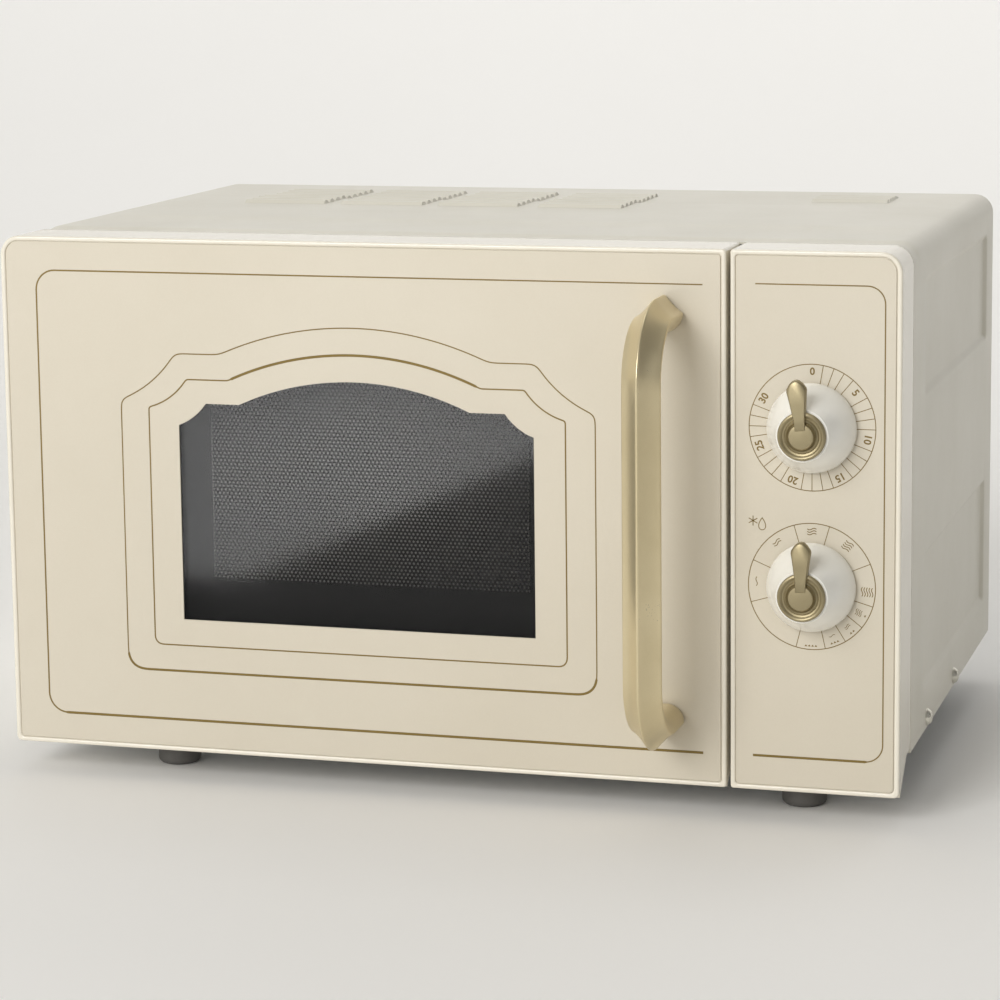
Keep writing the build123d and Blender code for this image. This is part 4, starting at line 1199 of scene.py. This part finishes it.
@dataclass
class Panel:
    """Printing on the control panel."""

    timer: Dial
    power: Dial
    border_left: float = 157.5
    border_right: float = 219.5
    border_low: float = 17.0
    border_high: float = 244.0
    border_round: float = 8.5
    minute_turn: float = 10.0        # degrees of the timer's scale for a minute
    numbers: tuple = (26.6, 4.9)     # radius and size of the digits
    power_lines: tuple = (-16.3, 16.2, 66.6, 106, 127.6, 147.6, 167.3, 194.1, 253.4, 292.6)
    power_waves: tuple = ((0, 3), (-39, 2), (273, 1), (40, 4), (93, 5))      # angle and count
    power_mixes: tuple = ((117, 4, 1), (137, 2, 2), (157, 1, 3), (180.5, 0, 4))
    wave_at: float = 26.5
    mixed_wave: tuple = (25.2, 0.7)  # radius and size of a wave above triangles
    mixed_grill: tuple = (28.9, 0.8)
    flake: tuple = (157.0, 131.2)
    flake_arm: float = 2.4
    drop: tuple = (161.4, 129.8)
    drop_size: tuple = (2.2, 2.9)
    fine_line: float = 0.42

    def border(self) -> bpy.types.Object:
        """The line round the panel, open to the left, heavier along the bottom.

        Returns:
            The printed line.
        """
        r = self.border_round
        line = [(self.border_left + 0.5, self.border_high)]
        line += arc(self.border_right - r, self.border_high - r, r, 90, 0)
        line += arc(self.border_right - r, self.border_low + r, r, 0, -90)
        line += [(self.border_left - 0.5, self.border_low)]
        return ribbon("border", line, [0.6] * (len(line) - 2) + [1.2, 1.2])

    def defrost(self) -> list[bpy.types.Object]:
        """A snowflake of three crossed arms and a drop: x = w sin t sin(t/2), h = k cos t.

        Returns:
            The four strokes.
        """
        middle, strokes = np.array(self.flake), []
        for number in range(3):
            turn = math.radians(number * 60 + 90)
            arm = np.array([math.cos(turn), math.sin(turn)]) * self.flake_arm
            strokes.append(ribbon(f"flake_{number}", np.array([middle - arm, middle + arm]),
                                  self.fine_line))
        t = np.linspace(0, math.tau, 33)[:-1]
        wide, tall = self.drop_size
        drop = np.stack([self.drop[0] + wide * np.sin(t) * np.sin(t / 2),
                         self.drop[1] + tall * np.cos(t)], -1)
        return [*strokes, ribbon("drop", drop, 0.4, closed=True)]

    def build(self) -> bpy.types.Object:
        """Prints the border, both scales and the defrost signs.

        Returns:
            The printing as one piece.
        """
        minutes = [m * self.minute_turn for m in range(1, 30) if m % 5]
        parts = [self.border(), *self.timer.scale(minutes)]
        for minute in range(0, 31, 5):
            parts.append(self.timer.text(str(minute), minute * self.minute_turn, *self.numbers))
        parts += self.power.scale(self.power_lines)
        for angle, count in self.power_waves:
            parts += self.power.sign(Sign.WAVE, angle, self.wave_at, count)
        (wave_at, wave_size), (grill_at, grill_size) = self.mixed_wave, self.mixed_grill
        for angle, waves, grills in self.power_mixes:
            parts += self.power.sign(Sign.WAVE, angle, wave_at, waves, wave_size)
            parts += self.power.sign(Sign.TRIANGLE, angle, grill_at, grills, grill_size)
        parts += self.defrost()
        piece = joined("panel_printing", parts)
        return dress(piece, GOLD_INK, "cabinet")


# ------------------------------------------------------------------ the studio, in metres
@dataclass(frozen=True)
class SoftBox:
    """A rectangular area light that faces a point."""

    name: str
    place: tuple[float, float, float]
    aim: tuple[float, float, float]
    size: tuple[float, float]
    watts: float

    def build(self) -> bpy.types.Object:
        """Adds the light.

        Returns:
            The light's object.
        """
        data = bpy.data.lights.new(self.name, "AREA")
        data.shape, data.energy = "RECTANGLE", self.watts
        data.size, data.size_y = self.size
        lamp = bpy.data.objects.new(self.name, data)
        bpy.context.scene.collection.objects.link(lamp)
        way = Vector(self.aim) - Vector(self.place)
        lamp.matrix_world = (Matrix.Translation(self.place)
                             @ way.to_track_quat("-Z", "Y").to_matrix().to_4x4())
        LOG.info("%s light: %g W", self.name, self.watts)
        return lamp


@dataclass
class Studio:
    """Pale floor, soft lights and the camera."""

    place: tuple = (0.46390, -1.59353, 0.43273)          # of the camera
    yaw: float = -16.4202            # degrees from straight back
    pitch: float = 8.680
    roll: float = -0.6535
    sensor: float = 36.0             # millimetres, as the lens
    lens: float = 115.3008
    shift: float = -0.10
    boxes: tuple = (
        SoftBox("key", (-0.9, -3.0, 1.5), (0.05, -0.1, 0.14), (1.6, 1.6), 60),
        SoftBox("fill", (2.4, -1.0, 0.9), (0, 0, 0.15), (1.2, 1.6), 1.5),
        SoftBox("top", (0.0, 0.3, 1.9), (0, 0.1, 0.27), (1.2, 1.0), 4.0),
        SoftBox("wash", (0.0, 1.9, 3.4), (0, 4.8, 1.6), (6.0, 2.0), 80))
    glow: SoftBox = SoftBox("glow", (-0.266, -0.60, 0.172), (-0.266, 0.0, 0.172),
                            (0.50, 0.30), 3.2)
    glow_turn: float = 24.0
    surround: tuple = (0.52, 0.08)   # strength on the left and on the right
    surround_span: tuple = (-0.2, 0.9)
    sweep_from: float = 1.0          # where the floor starts to rise
    sweep_rise: float = 0.35

    def camera(self) -> None:
        """Makes the camera from its heading, downward tilt and roll in degrees."""
        yaw, pitch, roll = (math.radians(v) for v in (self.yaw, self.pitch, self.roll))
        ahead = Vector((math.sin(yaw) * math.cos(pitch), math.cos(yaw) * math.cos(pitch),
                        -math.sin(pitch)))
        right = Vector((math.cos(yaw), -math.sin(yaw), 0))
        up = right.cross(ahead)
        tilted = right * math.cos(roll) + up * math.sin(roll)
        up = up * math.cos(roll) - right * math.sin(roll)
        data = bpy.data.cameras.new("camera")
        data.sensor_width, data.lens = self.sensor, self.lens
        data.shift_y = self.shift
        data.clip_start, data.clip_end = 0.05, 50
        holder = bpy.data.objects.new("camera", data)
        bpy.context.scene.collection.objects.link(holder)
        turn = Matrix((tilted, up, -ahead)).transposed().to_4x4()
        holder.matrix_world = Matrix.Translation(self.place) @ turn
        bpy.context.scene.camera = holder

    def floor(self) -> None:
        """A wide pale floor that rises softly behind the oven: z = 0.35 (y - 1)^2 past 1 m."""
        x, y = np.meshgrid(np.linspace(-6, 6, 25), np.linspace(-5, 6, 45))
        z = self.sweep_rise * np.clip(y - self.sweep_from, 0, None) ** 2
        piece = new_object("studio_floor", np.stack([x, y, z], -1), grid_faces(45, 25))
        piece.data.materials.append(BACKDROP.material())

    def lights(self, pane: bpy.types.Object) -> None:
        """One large key from the upper left, a weak fill, a backdrop wash, a soft surround.

        The surround is dimmer to the right, so that the right side and the metal keep their
        shape. The glow card is seen only as a soft reflection in the window.

        Args:
            pane: The window pane.
        """
        for box in self.boxes:
            box.build()
        glow = self.glow.build()
        glow.matrix_world = glow.matrix_world @ Matrix.Rotation(math.radians(self.glow_turn),
                                                                4, "Z")
        glow.visible_camera = glow.visible_diffuse = glow.visible_transmission = False
        lit = bpy.data.collections.new("glow_receivers")
        lit.objects.link(pane)
        glow.light_linking.receiver_collection = lit
        surround = bpy.data.worlds.new("surround")
        surround.use_nodes = True
        tree = surround.node_tree
        way = add_node(tree, "ShaderNodeTexCoord").outputs["Generated"]
        split = add_node(tree, "ShaderNodeSeparateXYZ", None, {"Vector": way})
        (start, stop), (left, right) = self.surround_span, self.surround
        level = add_node(tree, "ShaderNodeMapRange", None, {"Value": split.outputs["X"]},
                         {"From Min": start, "From Max": stop, "To Min": left, "To Max": right})
        back = tree.nodes["Background"]
        back.inputs["Color"].default_value = linear("FFFCF5")
        tree.links.new(level.outputs["Result"], back.inputs["Strength"])
        bpy.context.scene.world = surround
        bpy.context.scene.view_settings.view_transform = "Standard"


def main() -> None:
    """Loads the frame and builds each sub-assembly in order."""
    logging.basicConfig(level=logging.INFO, format="%(message)s")
    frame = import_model()
    studio = Studio()
    studio.camera()
    studio.floor()
    studio.lights(frame["nodes"]["window_pane"])
    Carried(frame).dress()
    casing = Casing()
    casing.build()
    casing.build_flanges()
    Screws().build()
    door = Door()
    door.build_lines()
    door.build_screen()
    door.build_film()
    door.build_pan()
    Handle().build()
    timer = Dial("timer", "timer_dial", 176.6, 30.1, tilt=-6.0)
    power = Dial("power", "power_dial", 100.6, 30.4)
    for dial in (timer, power):
        dial.build_skirt()
        dial.build_lever()
    Panel(timer, power).build()


if __name__ == "__main__":
    main()
